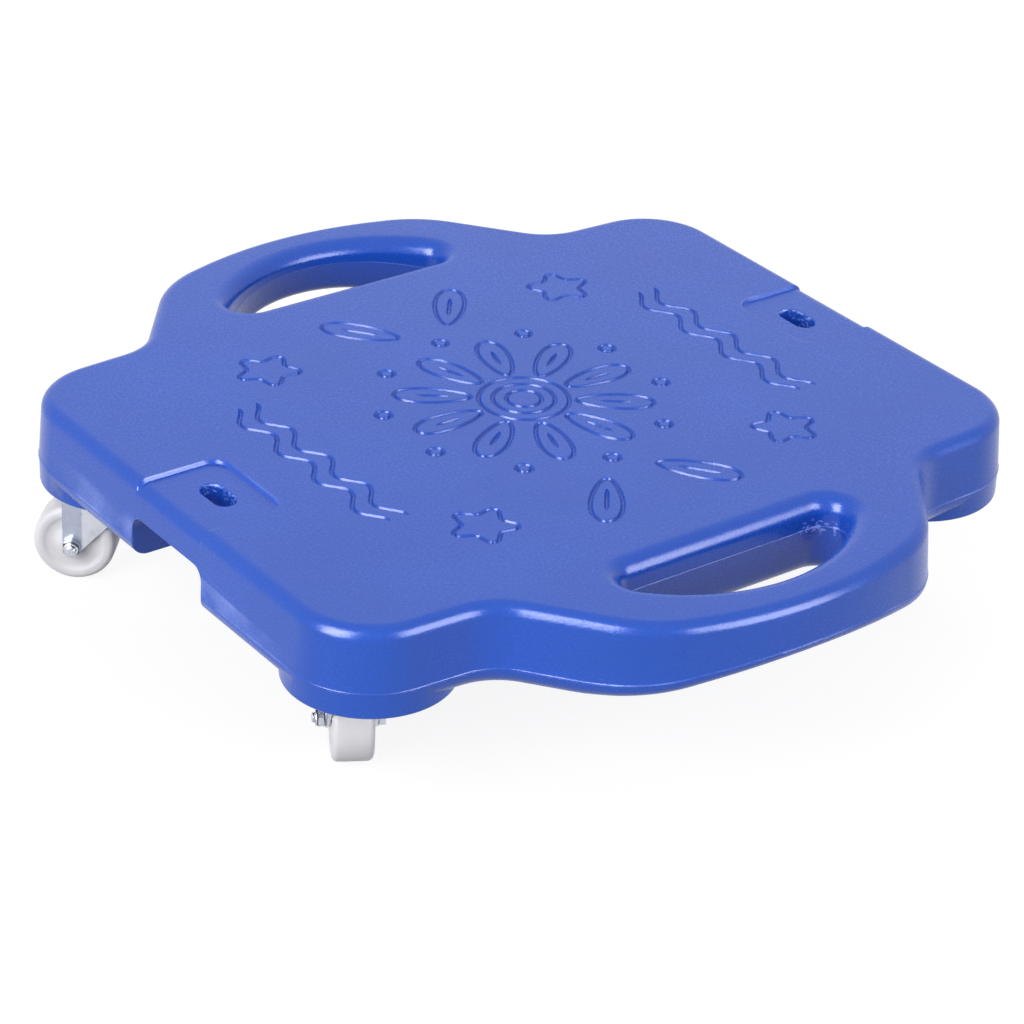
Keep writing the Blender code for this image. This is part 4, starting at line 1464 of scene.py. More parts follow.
    def mark_trim_and_highlight_lines(self, board: Piece) -> None:
        """Write how far each point lies on a pale line, from 0 to 1, for the finish: the flash lines left by
        trimming, and a painted highlight along each pad's border.

        Args:
            board: The deck so far.
        """
        shares = board.data.attributes.new("trim_and_highlight", "FLOAT", "POINT")
        scuffs = board.data.attributes.new("scuffed", "FLOAT", "POINT")
        throat_x = self.reach / 2 - self.handle_bar
        grip_x = throat_x - self.hole_grip
        slot_y = self.length / 2 - self.slot_from_edge
        near = 0.0004
        for index, vert in enumerate(board.data.vertices):
            x, y, z = vert.co
            depth = self.top - z
            from_parting = abs(depth - self.rising(self.parting_depth, x, y))
            throat = self.rising(self.hole_throat_depth, x, y)
            in_hole = grip_x - 0.001 < abs(x) < throat_x + 0.001 and abs(y) < 0.065
            if from_parting < self.ridge_half_width * 0.5 and not in_hole:
                shares.data[index].value = self.parting_wear
            if in_hole and abs(depth - throat) < 0.0001:
                shares.data[index].value = self.throat_wear
            if self.on_channel_lip(x, y, depth):
                shares.data[index].value = self.lip_wear
            # A thin pale line round each pad's border: a painted highlight on the step.
            at_pad = abs(y) > self.length / 2 - self.pad_length - self.pad_shoulder and depth < near
            if at_pad and abs(self.pad_border(x, y) - self.pad_shoulder / 2) < 0.0003:
                shares.data[index].value = self.pad_painted_highlight
            to_corner = math.hypot(abs(x) - grip_x, y - self.scuff_place) / self.scuff_reach
            if to_corner < 1 and depth < throat + 0.0002:
                fading = max(0.0, 1 - (throat - depth) / self.scuff_depth)
                scuffs.data[index].value = fading * (1 - to_corner ** 4)
            off_slot = max(abs(x) - self.slot_length / 2, abs(abs(y) - slot_y) - self.slot_width / 2)
            if off_slot < near and self.pad_depth + 0.0002 < depth < self.slot_wear_depth:
                scuffs.data[index].value = self.slot_wear - (depth - self.pad_depth) / self.slot_wear_depth

    def on_channel_lip(self, x: float, y: float, depth: float) -> bool:
        """Whether a place lies in the middle of the rounded lip at a channel's mouth.

        Args:
            x: The place.
            y: The place.
            depth: Its depth under the top face.

        Returns:
            Whether it lies there.
        """
        out_x = abs(x) - self.channel_width / 2 + self.channel_round
        out_z = self.channel_roof_depth + self.channel_round - depth
        out = math.hypot(max(out_x, 0.0), max(out_z, 0.0)) + min(max(out_x, out_z), 0.0) - self.channel_round
        return abs(y) > self.length / 2 - self.channel_lip and 0.0001 < out < 0.0006

    def build(self, kingpins: Sequence[tuple[float, float]], wardrobe: Wardrobe) -> Piece:
        """Model and dress the deck.

        Args:
            kingpins: Where the casters' swivel axes stand.
            wardrobe: The materials.

        Returns:
            The finished piece.
        """
        board = self.skin()
        self.sweep_handles_up(board)
        self.press_pads(board)
        combine(board, self.bosses(), Join.ADD)
        combine(board, self.underside_holes(kingpins), Join.CUT)
        for side in (-1, 1):
            combine(board, self.channel(side), Join.CUT)
            combine(board, self.slot(side), Join.CUT)
        combine(board, Motifs().cutter(self.top), Join.CUT)
        self.mark_trim_and_highlight_lines(board)
        board.data.materials.clear()
        board.data.materials.append(wardrobe.deck)
        shade(board, 34.0, weighted=True)
        finish_piece(board, "deck", "board")
        return board


def placed_copy(pattern: Piece, name: str, place: Matrix) -> Piece:
    """Copy a pattern piece with its own mesh, moved to a place.

    Args:
        pattern: The piece that is copied.
        name: The copy's name.
        place: Where it goes.

    Returns:
        The copy, its place in its mesh.
    """
    piece = pattern.copy()
    piece.data = pattern.data.copy()
    piece.name = name
    piece.data.name = name
    piece.data.transform(place)
    bpy.context.scene.collection.objects.link(piece)
    return piece


@dataclass
class Caster:
    """One light swivel caster, modelled about its kingpin with the wheel trailing along X."""

    seat_gap: float = 0.0003
    trail: float = 0.0170
    wheel_radius: float = 0.0200
    wheel_width: float = 0.0190
    wheel_round: float = 0.0030
    wheel_hub: float = 0.0072
    wheel_dish: float = 0.0010
    fork_inside: float = 0.0210
    fork_thickness: float = 0.0015
    fork_bend: float = 0.0030
    fork_eye: float = 0.0047
    fork_slant: float = 47.0
    fork_press: float = 0.0007
    fork_crease: float = 0.0008
    fork_web: tuple[float, float] = (0.0373, 0.0385)
    crown_radius: float = 0.0155
    crown_skirt: float = 0.0035
    crown_bottom: float = 0.04555
    crown_top: float = 0.04705
    crown_step: float = 0.0002
    plate_bottom: float = 0.05015
    plate_top: float = 0.05195
    plate_size: tuple[float, float] = (0.0520, 0.0400)
    plate_corner: float = 0.0050
    screw_spacing: tuple[float, float] = (0.0400, 0.0280)
    screw_radius: float = 0.0019
    screw_length: float = 0.0110
    screw_head: tuple[float, float] = (0.0036, 0.0022)
    screw_recess: tuple[float, float, float] = (0.0038, 0.00075, 0.0024)
    ball_radius: float = 0.00125
    ball_circle: float = 0.0070
    ball_count: int = 14
    race_wall: float = 0.0020
    cup_thickness: float = 0.0012
    kingpin_radius: float = 0.0040
    kingpin_head: tuple[float, float] = (0.0070, 0.0018)
    axle_radius: float = 0.0025
    axle_head: float = 0.0030
    axle_end: float = 0.0012
    thread_pitch: float = 0.0008
    thread_depth: float = 0.0004
    thread_turns: int = 9
    bush_wall: float = 0.0009
    hex_width: float = 0.0080
    nut_height: float = 0.0040
    patterns: dict[str, Piece] = field(default_factory=dict)

    @property
    def cup_top(self) -> float:
        """Height of the floor that the lower balls run on."""
        return self.crown_bottom - 2 * self.ball_radius - 2 * self.seat_gap

    @property
    def fork_outside(self) -> float:
        """Width over both legs of the fork."""
        return self.fork_inside + 2 * self.fork_thickness

    def wheel(self) -> Piece:
        """The wheel about Z: a crowned tread, a rim, a dished web and a hub.

        Returns:
            The wheel.
        """
        half, radius, turn = self.wheel_width / 2, self.wheel_radius, self.wheel_round
        bore = self.axle_radius + 2 * self.seat_gap + self.bush_wall
        rim, hub, dish = radius - turn - 0.002, self.wheel_hub, self.wheel_dish
        upper = [(bore, half - 0.0003), (bore + 0.0003, half), (hub - 0.0005, half)]
        upper += [(hub + 0.0005 - 0.0005 * math.cos(a), half - 0.0005 * math.sin(a)) for a in (0.5, 1.1, 1.5)]
        upper += [(hub + 0.0012, half - dish), (hub + 0.0035, half - dish * 1.25)]
        upper += [(rim - 0.0022, half - dish), (rim - 0.0010, half - dish * 0.72)]
        upper += [(rim - 0.0003, half - dish * 0.2), (rim + 0.0003, half)]
        upper += arc((radius - turn - 0.0001, half - turn), turn, 90.0, 4.0, 7)
        upper += [(radius - 0.00003, half * 0.35)]
        profile = upper + [(x, -z) for x, z in reversed(upper)]
        return turned("wheel", profile, 96)

    def side_outline(self) -> Points:
        """The fork leg's outline seen from the side, in X and Z.

        Returns:
            The ring of points.
        """
        eye, slant = self.fork_eye, math.radians(self.fork_slant)
        foot, top = self.wheel_radius - eye, self.crown_top + 0.010
        heel = self.trail - eye * math.tan(slant / 2)
        back = heel - (top - foot) / math.tan(slant)
        front = self.trail + eye
        corners = [(heel, foot, eye), (front, foot, eye * 0.999)]
        corners += [(front, top, eye / 2), (back, top, eye / 2)]
        return rounded(corners, 0.0006)

    def fork(self) -> Piece:
        """The pressed fork: a bent channel with pressed webs, cut to shape under a crown.

        Returns:
            The fork.
        """
        inner_top = self.crown_top - self.crown_step
        low = Vector((-self.crown_radius, -self.fork_outside / 2, 0.0))
        high = Vector((self.trail + 2 * self.fork_eye, self.fork_outside / 2, inner_top))
        bpy.ops.object.select_all(action="DESELECT")
        bpy.ops.mesh.primitive_cube_add(size=1.0, location=(low + high) / 2, scale=high - low)
        fork = named("fork")
        fix_place(fork)
        crease = self.trail - self.fork_eye - 0.0002
        in_web, under_web = crease - self.fork_crease / 2, sum(self.fork_web) / 2

        def along_bend(edge: bmesh.types.BMEdge) -> bool:
            """Whether an edge is one of the two that the sheet is bent along."""
            first, second = (vert.co for vert in edge.verts)
            return min(first.z, second.z) > self.crown_bottom and abs(first.x - second.x) > WELD

        with editing(fork):
            pick(fork, Kind.FACE, lambda f: f.normal.z < -0.5 or abs(f.normal.x) > 0.5)
            bpy.ops.mesh.delete(type="FACE")
            pick(fork, Kind.EDGE, along_bend)
            bpy.ops.mesh.bevel(offset=self.fork_bend, segments=7, profile=0.5, affect="EDGES")
            cuts = [((x, 0.0, 0.0), (1.0, 0.0, 0.0)) for x in (crease, crease - self.fork_crease)]
            cuts += [((0.0, 0.0, z), (0.0, 0.0, 1.0)) for z in reversed(self.fork_web)]
            for spot, across in cuts:
                pick(fork, Kind.FACE, lambda f: abs(f.normal.y) > 0.9)
                bpy.ops.mesh.bisect(plane_co=spot, plane_no=across)
            for side in (-1, 1):

                def pressed(vert: bmesh.types.BMVert) -> bool:
                    """Whether a point lies in this leg's pressed web."""
                    return vert.co.y * side > 0.01 and vert.co.x < in_web and vert.co.z < under_web

                pick(fork, Kind.VERT, pressed)
                bpy.ops.transform.translate(value=(0.0, -side * self.fork_press, 0.0))
        wall = fork.modifiers.new("wall", "SOLIDIFY")
        wall.thickness = self.fork_thickness
        wall.offset = -1.0
        apply_modifiers(fork)
        ring = self.side_outline()
        rings = [[Vector((p.x, y, p.y)) for p in ring] for y in (-self.fork_outside, self.fork_outside)]
        combine(fork, loft("fork_side", rings), Join.KEEP_COMMON)
        outer, skirt, top = self.crown_radius, self.crown_top - self.crown_skirt, self.crown_top
        thick = self.fork_thickness
        crown = [(0.0, top)] + arc((outer - thick, top - thick), thick, 90.0, 0.0, 6)
        crown += [(outer, skirt), (outer - thick, skirt)]
        crown += [(outer - thick, self.crown_bottom), (0.0, self.crown_bottom)]
        combine(fork, turned("crown", crown, 96), Join.ADD)
        centre = self.kingpin_radius + self.seat_gap
        combine(fork, rod("centre", centre, self.crown_bottom - 0.01, top + 0.01), Join.CUT)
        eyes = rod("eyes", self.axle_radius + self.seat_gap, -0.02, 0.02)
        eyes.data.transform(self.axle_place())
        combine(fork, eyes, Join.CUT)
        soften(fork, 0.00022, 45.0)
        shade(fork, 40.0, weighted=True)
        self.mark_shaded_strips(fork, crease - 0.0002)
        return fork

    def mark_shaded_strips(self, fork: Piece, start: float) -> None:
        """Mark the legs' outer strips past the pressed webs, which the finish paints darker as shade.

        Args:
            fork: The fork.
            start: Where the strips begin, along X.
        """
        marks = fork.data.attributes.new("strip_shade", "FLOAT", "FACE")
        # These strips are painted darker as shade by the finish.
        for face in fork.data.polygons:
            outside = abs(face.center.y) > self.fork_outside / 2 - 0.0003 and abs(face.normal.y) > 0.9
            if outside and face.center.x > start and face.center.z < self.crown_bottom:
                marks.data[face.index].value = 1.0

    def axle_place(self) -> Matrix:
        """Where the axle lies, its Z along the fork's Y."""
        spot = Matrix.Translation((self.trail, 0.0, self.wheel_radius))
        return spot @ Matrix.Rotation(-math.pi / 2, 4, "X")

    def top_plate(self) -> Piece:
        """The plate with its pressed race, its screw holes and the kingpin's hole.

        Returns:
            The plate.
        """
        length, width = self.plate_size[0] / 2, self.plate_size[1] / 2
        corner = self.plate_corner
        corners = [(-length, -width, corner), (length, -width, corner), (length, width, corner)]
        ring = rounded(corners + [(-length, width, corner)], 0.0007)
        levels = (self.plate_bottom, self.plate_top)
        plate = loft("top_plate", [[Vector((*p, z)) for p in ring] for z in levels])
        inner = self.ball_circle + self.ball_radius + self.seat_gap
        outer, low, high = inner + self.race_wall, self.crown_top + 0.0006, self.plate_bottom + 0.0009
        turn = 0.0006
        race = [(inner, high), (outer + turn, high), (outer + turn, self.plate_bottom)]
        race += [(outer, self.plate_bottom - turn)] + arc((outer - turn, low + turn), turn, 0.0, -90.0, 4)
        race += [(inner + 0.0003, low), (inner, low + 0.0003)]
        combine(plate, turned("race", race, 80), Join.ADD)
        above = self.plate_top + 0.002
        drill = rod("drill", self.screw_radius + self.seat_gap, self.crown_top, above, 32)
        for x, y in self.screw_places():
            combine(plate, placed_copy(drill, "hole", Matrix.Translation((x, y, 0.0))), Join.CUT)
        bpy.data.objects.remove(drill, do_unlink=True)
        hole = rod("hole", self.kingpin_radius + self.seat_gap, self.crown_top, above)
        combine(plate, hole, Join.CUT)
        soften(plate, 0.0002, 45.0)
        shade(plate, 40.0, weighted=True)
        return plate

    def screw_places(self) -> list[tuple[float, float]]:
        """The four mounting screws round the kingpin."""
        x, y = self.screw_spacing[0] / 2, self.screw_spacing[1] / 2
        return [(-x, -y), (-x, y), (x, -y), (x, y)]

    def balls(self, name: str, bottom: float) -> Piece:
        """A ring of bearing balls held in a thin cage.

        Args:
            name: What the ring is called.
            bottom: The height that the balls stand at.

        Returns:
            The joined balls and cage.
        """
        centre = bottom + self.ball_radius
        made = []
        for k in range(self.ball_count):
            a = math.tau * k / self.ball_count
            bpy.ops.object.select_all(action="DESELECT")
            spot = (self.ball_circle * math.cos(a), self.ball_circle * math.sin(a), centre)
            bpy.ops.mesh.primitive_ico_sphere_add(subdivisions=3, radius=self.ball_radius, location=spot)
            ball = named("ball")
            fix_place(ball)
            made.append(ball)
        near, far, thick = self.ball_circle - 0.0007, self.ball_circle + 0.0007, 0.00022
        cage = [(near, centre - thick), (far, centre - thick), (far, centre + thick), (near, centre + thick)]
        made.append(turned("cage", cage, 56))
        ring = joined(name, made)
        shade(ring, 40.0)
        return ring

    def race_cup(self) -> Piece:
        """The lower race: a dished ring that holds the lower balls up against the crown.

        Returns:
            The cup.
        """
        inner = self.kingpin_radius + self.seat_gap
        wall = self.ball_circle + self.ball_radius + self.seat_gap
        floor, thick = self.cup_top, self.cup_thickness
        lip, foot, outer = floor + self.ball_radius, floor - thick, wall + thick
        profile = [(wall, lip)] + arc((outer - 0.0004, lip - 0.0004), 0.0004, 90.0, 0.0, 3)
        profile += arc((outer - 0.0011, foot + 0.0011), 0.0011, 0.0, -90.0, 5)
        profile += [(inner + 0.0002, foot), (inner, foot + 0.0002), (inner, floor), (wall - 0.0006, floor)]
        profile += [(wall - 0.0002, floor + 0.0002), (wall, floor + 0.0006)]
        cup = turned("race_cup", profile, 80)
        shade(cup, 40.0)
        return cup

    def kingpin(self) -> Piece:
        """The rivet on the swivel axis, with its domed head and the punch's dimple.

        Returns:
            The rivet.
        """
        head = self.cup_top - self.cup_thickness - self.seat_gap
        foot = head - self.kingpin_head[1]
        radius, wide = self.kingpin_radius, self.kingpin_head[0]
        profile = [(0.0, self.plate_top), (radius, self.plate_top), (radius, head), (wide - 0.0003, head)]
        profile += [(wide, head - 0.0003), (wide - 0.0001, head - 0.0008), (wide - 0.0009, head - 0.0014)]
        profile += [(wide - 0.0024, foot), (0.0022, foot), (0.0014, foot + 0.0005), (0.0, foot + 0.0007)]
        pin = turned("kingpin", profile, 64)
        shade(pin, 40.0)
        return pin

    def screw(self) -> Piece:
        """A pan-headed mounting screw with a cross recess.

        Returns:
            The screw.
        """
        head = self.plate_bottom - self.seat_gap
        tip = self.plate_bottom + self.screw_length - self.seat_gap
        radius, (wide, tall) = self.screw_radius, self.screw_head
        foot = head - tall
        profile = [(0.0, tip), (radius * 0.3, tip), (radius, tip - 0.002), (radius, head)]
        profile += [(wide - 0.0001, head), (wide, head - 0.0002)]
        profile += arc((wide - 0.0012, foot + 0.0012), 0.0012, 0.0, -75.0, 6)
        profile += [(wide * 0.4, foot + 0.00002), (0.0, foot)]
        screw = turned("screw", profile, 40)
        for angle in (0.0, math.pi / 2):
            bpy.ops.object.select_all(action="DESELECT")
            bpy.ops.mesh.primitive_cube_add(size=1.0, location=(0.0, 0.0, foot))
            blade = named("blade")
            blade.data.transform(Matrix.Diagonal((*self.screw_recess, 1.0)))
            fix_place(blade)
            with editing(blade):
                pick(blade, Kind.FACE, lambda f: f.normal.z > 0.5)
                bpy.ops.transform.resize(value=(0.55, 0.6, 1.0), center_override=(0.0, 0.0, 0.0))
            blade.data.transform(Matrix.Rotation(angle, 4, "Z"))
            combine(screw, blade, Join.CUT)
        shade(screw, 35.0)
        return screw

    def bush(self) -> Piece:
        """The sleeve that the wheel turns on.

        Returns:
            The sleeve.
        """
        half = self.fork_inside / 2 - self.seat_gap
        inner = self.axle_radius + self.seat_gap
        outer = inner + self.bush_wall - 0.00001
        bevel = 0.0002
        profile = [(inner, half - bevel), (inner + bevel, half)]
        profile += [(outer - bevel, half), (outer, half - bevel)]
        profile += [(x, -z) for x, z in reversed(profile)]
        bush = turned("bush", profile, 48)
        shade(bush, 40.0)
        return bush

    def hexagon(self, name: str, bottom: float, top: float, chamfer_foot: bool, chamfer_top: bool) -> Piece:
        """A hexagonal block about Z with turned chamfers.

        Args:
            name: What the piece is called.
            bottom: Its lower height.
            top: Its upper height.
            chamfer_foot: Whether its lower corners are turned off.
            chamfer_top: Whether its upper corners are turned off.

        Returns:
            The block.
        """
        corner = self.hex_width / 2 / math.cos(math.pi / 6)
        bpy.ops.object.select_all(action="DESELECT")
        bpy.ops.mesh.primitive_cylinder_add(
            vertices=6, radius=corner, depth=top - bottom, location=(0.0, 0.0, (top + bottom) / 2)
        )
        block = named(name)
        fix_place(block)
        fall, past = 0.0006, 0.001
        flat, edge, wide = self.hex_width / 2 - 0.0001, corner + 0.0002, corner + past
        foot = [(flat, bottom), (edge, bottom + fall)] if chamfer_foot else [(wide, bottom - past)]
        crest = [(edge, top - fall), (flat, top)] if chamfer_top else [(wide, top + past)]
        low = bottom if chamfer_foot else bottom - past
        high = top if chamfer_top else top + past
        combine(block, turned("chamfer", [(0.0, low), *foot, *crest, (0.0, high)], 72), Join.KEEP_COMMON)
        return block

    def axle(self) -> Piece:
        """The axle bolt about Z, its head at the far leg and its threaded end past the nut.

        Returns:
            The bolt.
        """
        seat = -self.fork_outside / 2 - self.seat_gap
        bolt = self.hexagon("axle", seat - self.axle_head, seat, True, False)
        end = self.fork_outside / 2 + self.nut_height + 2 * self.seat_gap + self.axle_end
        radius, pitch, first = self.axle_radius, self.thread_pitch, end - 0.0005
        profile = [(0.0, end), (radius * 0.72, end), (radius * 0.86, end - 0.0003)]
        for k in range(self.thread_turns):
            crest = first - k * pitch
            profile += [(radius, crest), (radius, crest - 0.0001)]
            profile.append((radius - self.thread_depth, crest - pitch / 2))
        profile += [(radius, first - self.thread_turns * pitch), (radius, seat - 0.001), (0.0, seat - 0.001)]
        combine(bolt, turned("shank", profile, 48), Join.ADD)
        shade(bolt, 30.0)
        return bolt

    def nut(self, wardrobe: Wardrobe) -> Piece:
        """The lock nut about Z, with its crimped collar round a recess painted near-black as shade.

        Args:
            wardrobe: The materials.

        Returns:
            The nut, dressed.
        """
        seat = self.fork_outside / 2 + self.seat_gap
        shoulder, top = seat + self.nut_height - 0.0012, seat + self.nut_height
        nut = self.hexagon("nut", seat, shoulder, True, True)
        wide, turn, thick = self.hex_width / 2 - 0.0003, 0.0007, 0.0006
        insert, floor = wide - turn - thick, top - 0.0004
        collar = [(0.0, shoulder - 0.0004), (wide, shoulder - 0.0004)]
        collar += arc((wide - turn, top - turn), turn, 0.0, 90.0, 5)
        collar += [(insert, top - 0.0001), (insert - 0.0001, floor), (0.0, floor)]
        combine(nut, turned("collar", collar, 72), Join.ADD)
        bore = self.axle_radius + self.seat_gap / 2
        combine(nut, rod("bore", bore, seat - 0.01, top + 0.01), Join.CUT)
        nut.data.materials.clear()
        nut.data.materials.append(wardrobe.zinc)
        nut.data.materials.append(wardrobe.shaded_steel)
        # The recess and the hexagon's shoulder ring take the near-black steel: painted shade.
        for face in nut.data.polygons:
            out = math.hypot(face.center.x, face.center.y)
            in_recess = face.center.z > top - 0.0006 and out < insert
            on_shoulder = abs(face.center.z - shoulder) < 0.0003 and out > wide - 0.0001
            if in_recess or on_shoulder:
                face.material_index = 1
        shade(nut, 30.0)
        return nut

    def build(self, wardrobe: Wardrobe) -> None:
        """Model every pattern piece once and dress it.

        Args:
            wardrobe: The materials.
        """
        self.patterns = {
            "top_plate": self.top_plate(),
            "upper_balls": self.balls("upper_balls", self.crown_top + self.seat_gap),
            "lower_balls": self.balls("lower_balls", self.cup_top + self.seat_gap),
            "race_cup": self.race_cup(),
            "kingpin": self.kingpin(),
            "screw": self.screw(),
            "fork": self.fork(),
            "wheel": self.wheel(),
            "bush": self.bush(),
            "axle": self.axle(),
            "nut": self.nut(wardrobe),
        }
        shade(self.patterns["wheel"], 40.0)
        dress = {name: wardrobe.dark_steel for name in ("upper_balls", "lower_balls")}
        dress["wheel"] = wardrobe.nylon
        for name, piece in self.patterns.items():
            if name != "nut":
                piece.data.materials.clear()
                piece.data.materials.append(dress.get(name, wardrobe.zinc))

    def stand_at(self, corner: str, joints: dict[str, dict]) -> None:
        """Copy every piece to one corner of the board.

        Args:
            corner: The corner's name, as the nodes have it.
            joints: The record's joints by name.
        """
        swivel, roll = joints[f"{corner}_swivel"], joints[f"{corner}_roll"]
        stand = Matrix.Translation((swivel["pos_m"][0], swivel["pos_m"][1], 0.0))
        heading = math.atan2(-roll["axis"][0], roll["axis"][1])
        turn = stand @ Matrix.Rotation(heading, 4, "Z")
        axle = turn @ self.axle_place()
        fixed, carried, rolling = "board", swivel["child"], roll["child"]
        places = {name: (stand, fixed, Slot.STEEL) for name in ("top_plate", "race_cup", "kingpin")}
        places |= {name: (stand, fixed, Slot.BALLS) for name in ("upper_balls", "lower_balls")}
        places["fork"] = (turn, carried, Slot.STEEL)
        places |= {name: (axle, carried, Slot.STEEL) for name in ("bush", "axle", "nut")}
        places["wheel"] = (axle, rolling, Slot.WHEEL)
        for name, (place, body, slot) in places.items():
            node = f"{corner}_{name}"
            finish_piece(placed_copy(self.patterns[name], f"fine_{node}", place), node, body)
        for number, (x, y) in enumerate(self.screw_places(), start=1):
            node = f"{corner}_screw_{number}"
            spot = stand @ Matrix.Translation((x, y, 0.0)) @ Matrix.Rotation(number * 1.1, 4, "Z")
            finish_piece(placed_copy(self.patterns["screw"], f"fine_{node}", spot), node, fixed)

    def clear_patterns(self) -> None:
        """Remove the pattern pieces once every corner has its copies."""
        for piece in self.patterns.values():
            bpy.data.objects.remove(piece, do_unlink=True)
        self.patterns.clear()


@dataclass
class Lamp:
    """One soft lamp that looks at the board, and how bright a gloss mirrors it."""

    name: str
    azimuth: float
    elevation: float
    distance: float
    size: tuple[float, float]
    power: float
    mirrored: float


@dataclass
class Studio:
    """The pale floor, the plain soft light and the camera at the photograph's view."""

    deck_top: float = 0.0960
    azimuth: float = 52.819
    elevation: float = 27.395
    roll: float = 2.307
    distance: float = 1.65827
    lens: float = 121.6
    shift: tuple[float, float] = (-0.0117, -0.1110)
    world_light: float = 0.24
    world_overhead: float = 0.38
    floor_glow: float = 0.89
    floor_seen: float = 0.14
    floor_bounce: float = 0.25
    floor_size: float = 8.0
    card_gap: float = 0.01
    lamps: tuple[Lamp, ...] = (
        Lamp("left", -77.0, 23.0, 2.30, (1.30, 2.04), 48.0, 13.0),
        Lamp("right", 20.0, 17.5, 2.30, (1.50, 1.60), 22.0, 9.8),
        Lamp("back", 143.0, 25.0, 2.30, (1.80, 1.50), 31.0, 0.0),
    )

    def add_camera(self) -> None:
        """Stand the camera where the photograph was taken."""
        a, e, roll = (math.radians(x) for x in (self.azimuth, self.elevation, self.roll))
        back = Vector((math.sin(a) * math.cos(e), -math.cos(a) * math.cos(e), math.sin(e)))
        right = Vector((math.cos(a), math.sin(a), 0.0))
        up = back.cross(right)
        side = right * math.cos(roll) + up * math.sin(roll)
        rise = up * math.cos(roll) - right * math.sin(roll)
        data = bpy.data.cameras.new("camera")
        data.sensor_width = 36.0
        data.lens = self.lens
        data.shift_x, data.shift_y = self.shift
        camera = bpy.data.objects.new("camera", data)
        place = Matrix((side, rise, back)).transposed().to_4x4()
        place.translation = back * self.distance + Vector((0.0, 0.0, self.deck_top))
        camera.matrix_world = place
        bpy.context.scene.collection.objects.link(camera)
        bpy.context.scene.camera = camera

    def add_lamps(self) -> None:
        """Hang the soft lamps."""
        for lamp in self.lamps:
            data = bpy.data.lights.new(lamp.name, "AREA")
            data.shape = "RECTANGLE"
            data.size, data.size_y = lamp.size
            data.energy = lamp.power
            item = bpy.data.objects.new(lamp.name, data)
            a, e = math.radians(lamp.azimuth), math.radians(lamp.elevation)
            back = Vector((math.cos(a) * math.cos(e), math.sin(a) * math.cos(e), math.sin(e)))
            item.location = back * lamp.distance + Vector((0.0, 0.0, self.deck_top))
            item.rotation_mode = "QUATERNION"
            item.rotation_quaternion = (-back).to_track_quat("-Z", "Y")
            bpy.context.scene.collection.objects.link(item)
            if lamp.mirrored:
                self.add_card(lamp, item.location + back * self.card_gap, item.rotation_quaternion)
            else:
                item.visible_glossy = False

    def add_card(self, lamp: Lamp, place: Vector, turn: Quaternion) -> None:
        """Hang the bright sheet behind a soft lamp, which only a gloss shows.

        Args:
            lamp: The lamp.
            place: Where the sheet hangs.
            turn: The way the lamp looks.
        """
        bpy.ops.object.select_all(action="DESELECT")
        bpy.ops.mesh.primitive_plane_add(size=1.0)
        card = named(f"{lamp.name}_card")
        card.data.transform(Matrix.Diagonal((*lamp.size, 1.0, 1.0)))
        card.matrix_world = Matrix.Translation(place) @ turn.to_matrix().to_4x4()
        fix_place(card)
        material = bpy.data.materials.new(card.name)
        material.use_nodes = True
        material.cycles.emission_sampling = "NONE"
        sheet = Sheet(material.node_tree)
        shader = material.node_tree.nodes["Principled BSDF"]
        shader.inputs["Base Color"].default_value = (0.0, 0.0, 0.0, 1.0)
        shader.inputs["Specular IOR Level"].default_value = 0.0
        shader.inputs["Emission Color"].default_value = (1.0, 1.0, 1.0, 1.0)
        shader.inputs["Emission Strength"].default_value = lamp.mirrored
        glossy = sheet.put("ShaderNodeLightPath").outputs["Is Glossy Ray"]
        sheet.tree.links.new(glossy, shader.inputs["Alpha"])
        card.data.materials.append(material)

    def add_world(self) -> None:
        """Light from all round, white where the camera, a gloss or glass sees it."""
        world = bpy.data.worlds.new("studio")
        world.use_nodes = True
        bpy.context.scene.world = world
        sheet = Sheet(world.node_tree)
        world.node_tree.nodes.clear()
        path = sheet.put("ShaderNodeLightPath")
        seen = sheet.sum("MAXIMUM", path.outputs["Is Camera Ray"], path.outputs["Is Transmission Ray"])
        seen = sheet.sum("MAXIMUM", seen, path.outputs["Is Glossy Ray"])
        place = sheet.put("ShaderNodeTexCoord").outputs["Generated"]
        height = sheet.put("ShaderNodeSeparateXYZ", {0: place}).outputs["Z"]
        overhead = sheet.sum("MULTIPLY", sheet.sum("MAXIMUM", height, 0.0), self.world_overhead)
        light = sheet.sum("ADD", overhead, self.world_light)
        strength = sheet.sum("MAXIMUM", seen, light)
        glow = sheet.put("ShaderNodeBackground", {"Color": (1.0, 1.0, 1.0, 1.0), "Strength": strength})
        sheet.put("ShaderNodeOutputWorld", {"Surface": glow.outputs[0]})

    def add_floor(self) -> None:
        """Lay a pale floor that keeps the board's shadow."""
        bpy.ops.object.select_all(action="DESELECT")
        bpy.ops.mesh.primitive_plane_add(size=self.floor_size)
        floor = named("studio_floor")
        material = bpy.data.materials.new("studio_floor")
        material.use_nodes = True
        sheet = Sheet(material.node_tree)
        shader = material.node_tree.nodes["Principled BSDF"]
        shader.inputs["Roughness"].default_value = 1.0
        shader.inputs["Specular IOR Level"].default_value = 0.0
        shader.inputs["Emission Color"].default_value = (1.0, 1.0, 1.0, 1.0)
        path = sheet.put("ShaderNodeLightPath")
        seen = sheet.sum("MAXIMUM", path.outputs["Is Camera Ray"], path.outputs["Is Glossy Ray"])
        seen = sheet.sum("MAXIMUM", seen, path.outputs["Is Transmission Ray"])
        sheet.tree.links.new(sheet.sum("MULTIPLY", seen, self.floor_glow), shader.inputs["Emission Strength"])
        tones = [(grey, grey, grey, 1.0) for grey in (self.floor_bounce, self.floor_seen)]
        sheet.tree.links.new(sheet.blend(seen, *tones), shader.inputs["Base Color"])
        floor.data.materials.append(material)

    def build(self) -> None:
        """Set up the whole studio."""
        self.add_camera()
        self.add_lamps()
        self.add_world()
        self.add_floor()
        bpy.context.scene.view_settings.view_transform = "Standard"


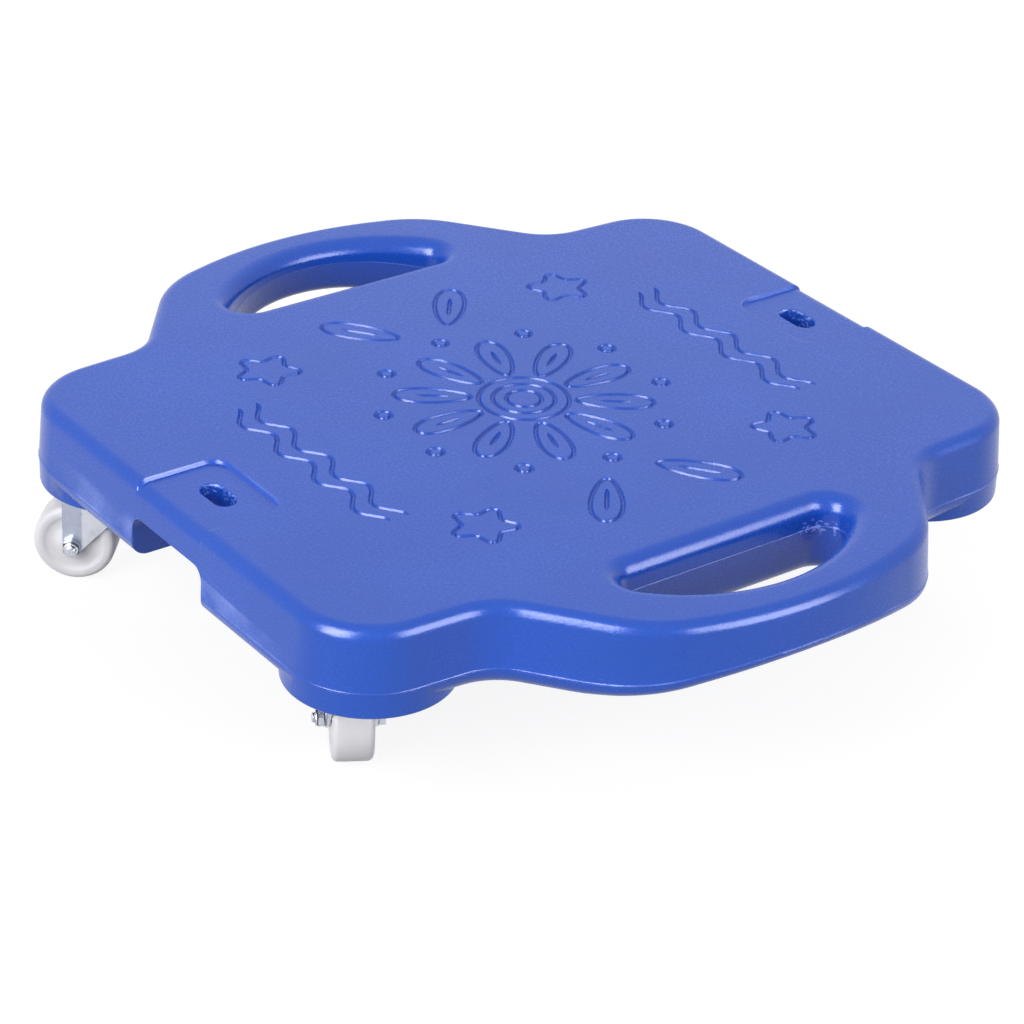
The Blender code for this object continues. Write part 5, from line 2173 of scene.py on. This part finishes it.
def main() -> None:
    """Build and dress the board, then the studio round it."""
    logging.basicConfig(level=logging.INFO, format="%(message)s")
    joints = {joint["name"]: joint for joint in frame["joints"]}
    corners = [name.removesuffix("_swivel") for name in joints if name.endswith("_swivel")]
    wardrobe = Wardrobe(Palette(), Effects())
    kingpins = [tuple(joints[f"{corner}_swivel"]["pos_m"][:2]) for corner in corners]
    Deck().build(kingpins, wardrobe)
    caster = Caster()
    caster.build(wardrobe)
    for corner in corners:
        caster.stand_at(corner, joints)
    caster.clear_patterns()
    Studio().build()


if __name__ == "__main__":
    main()
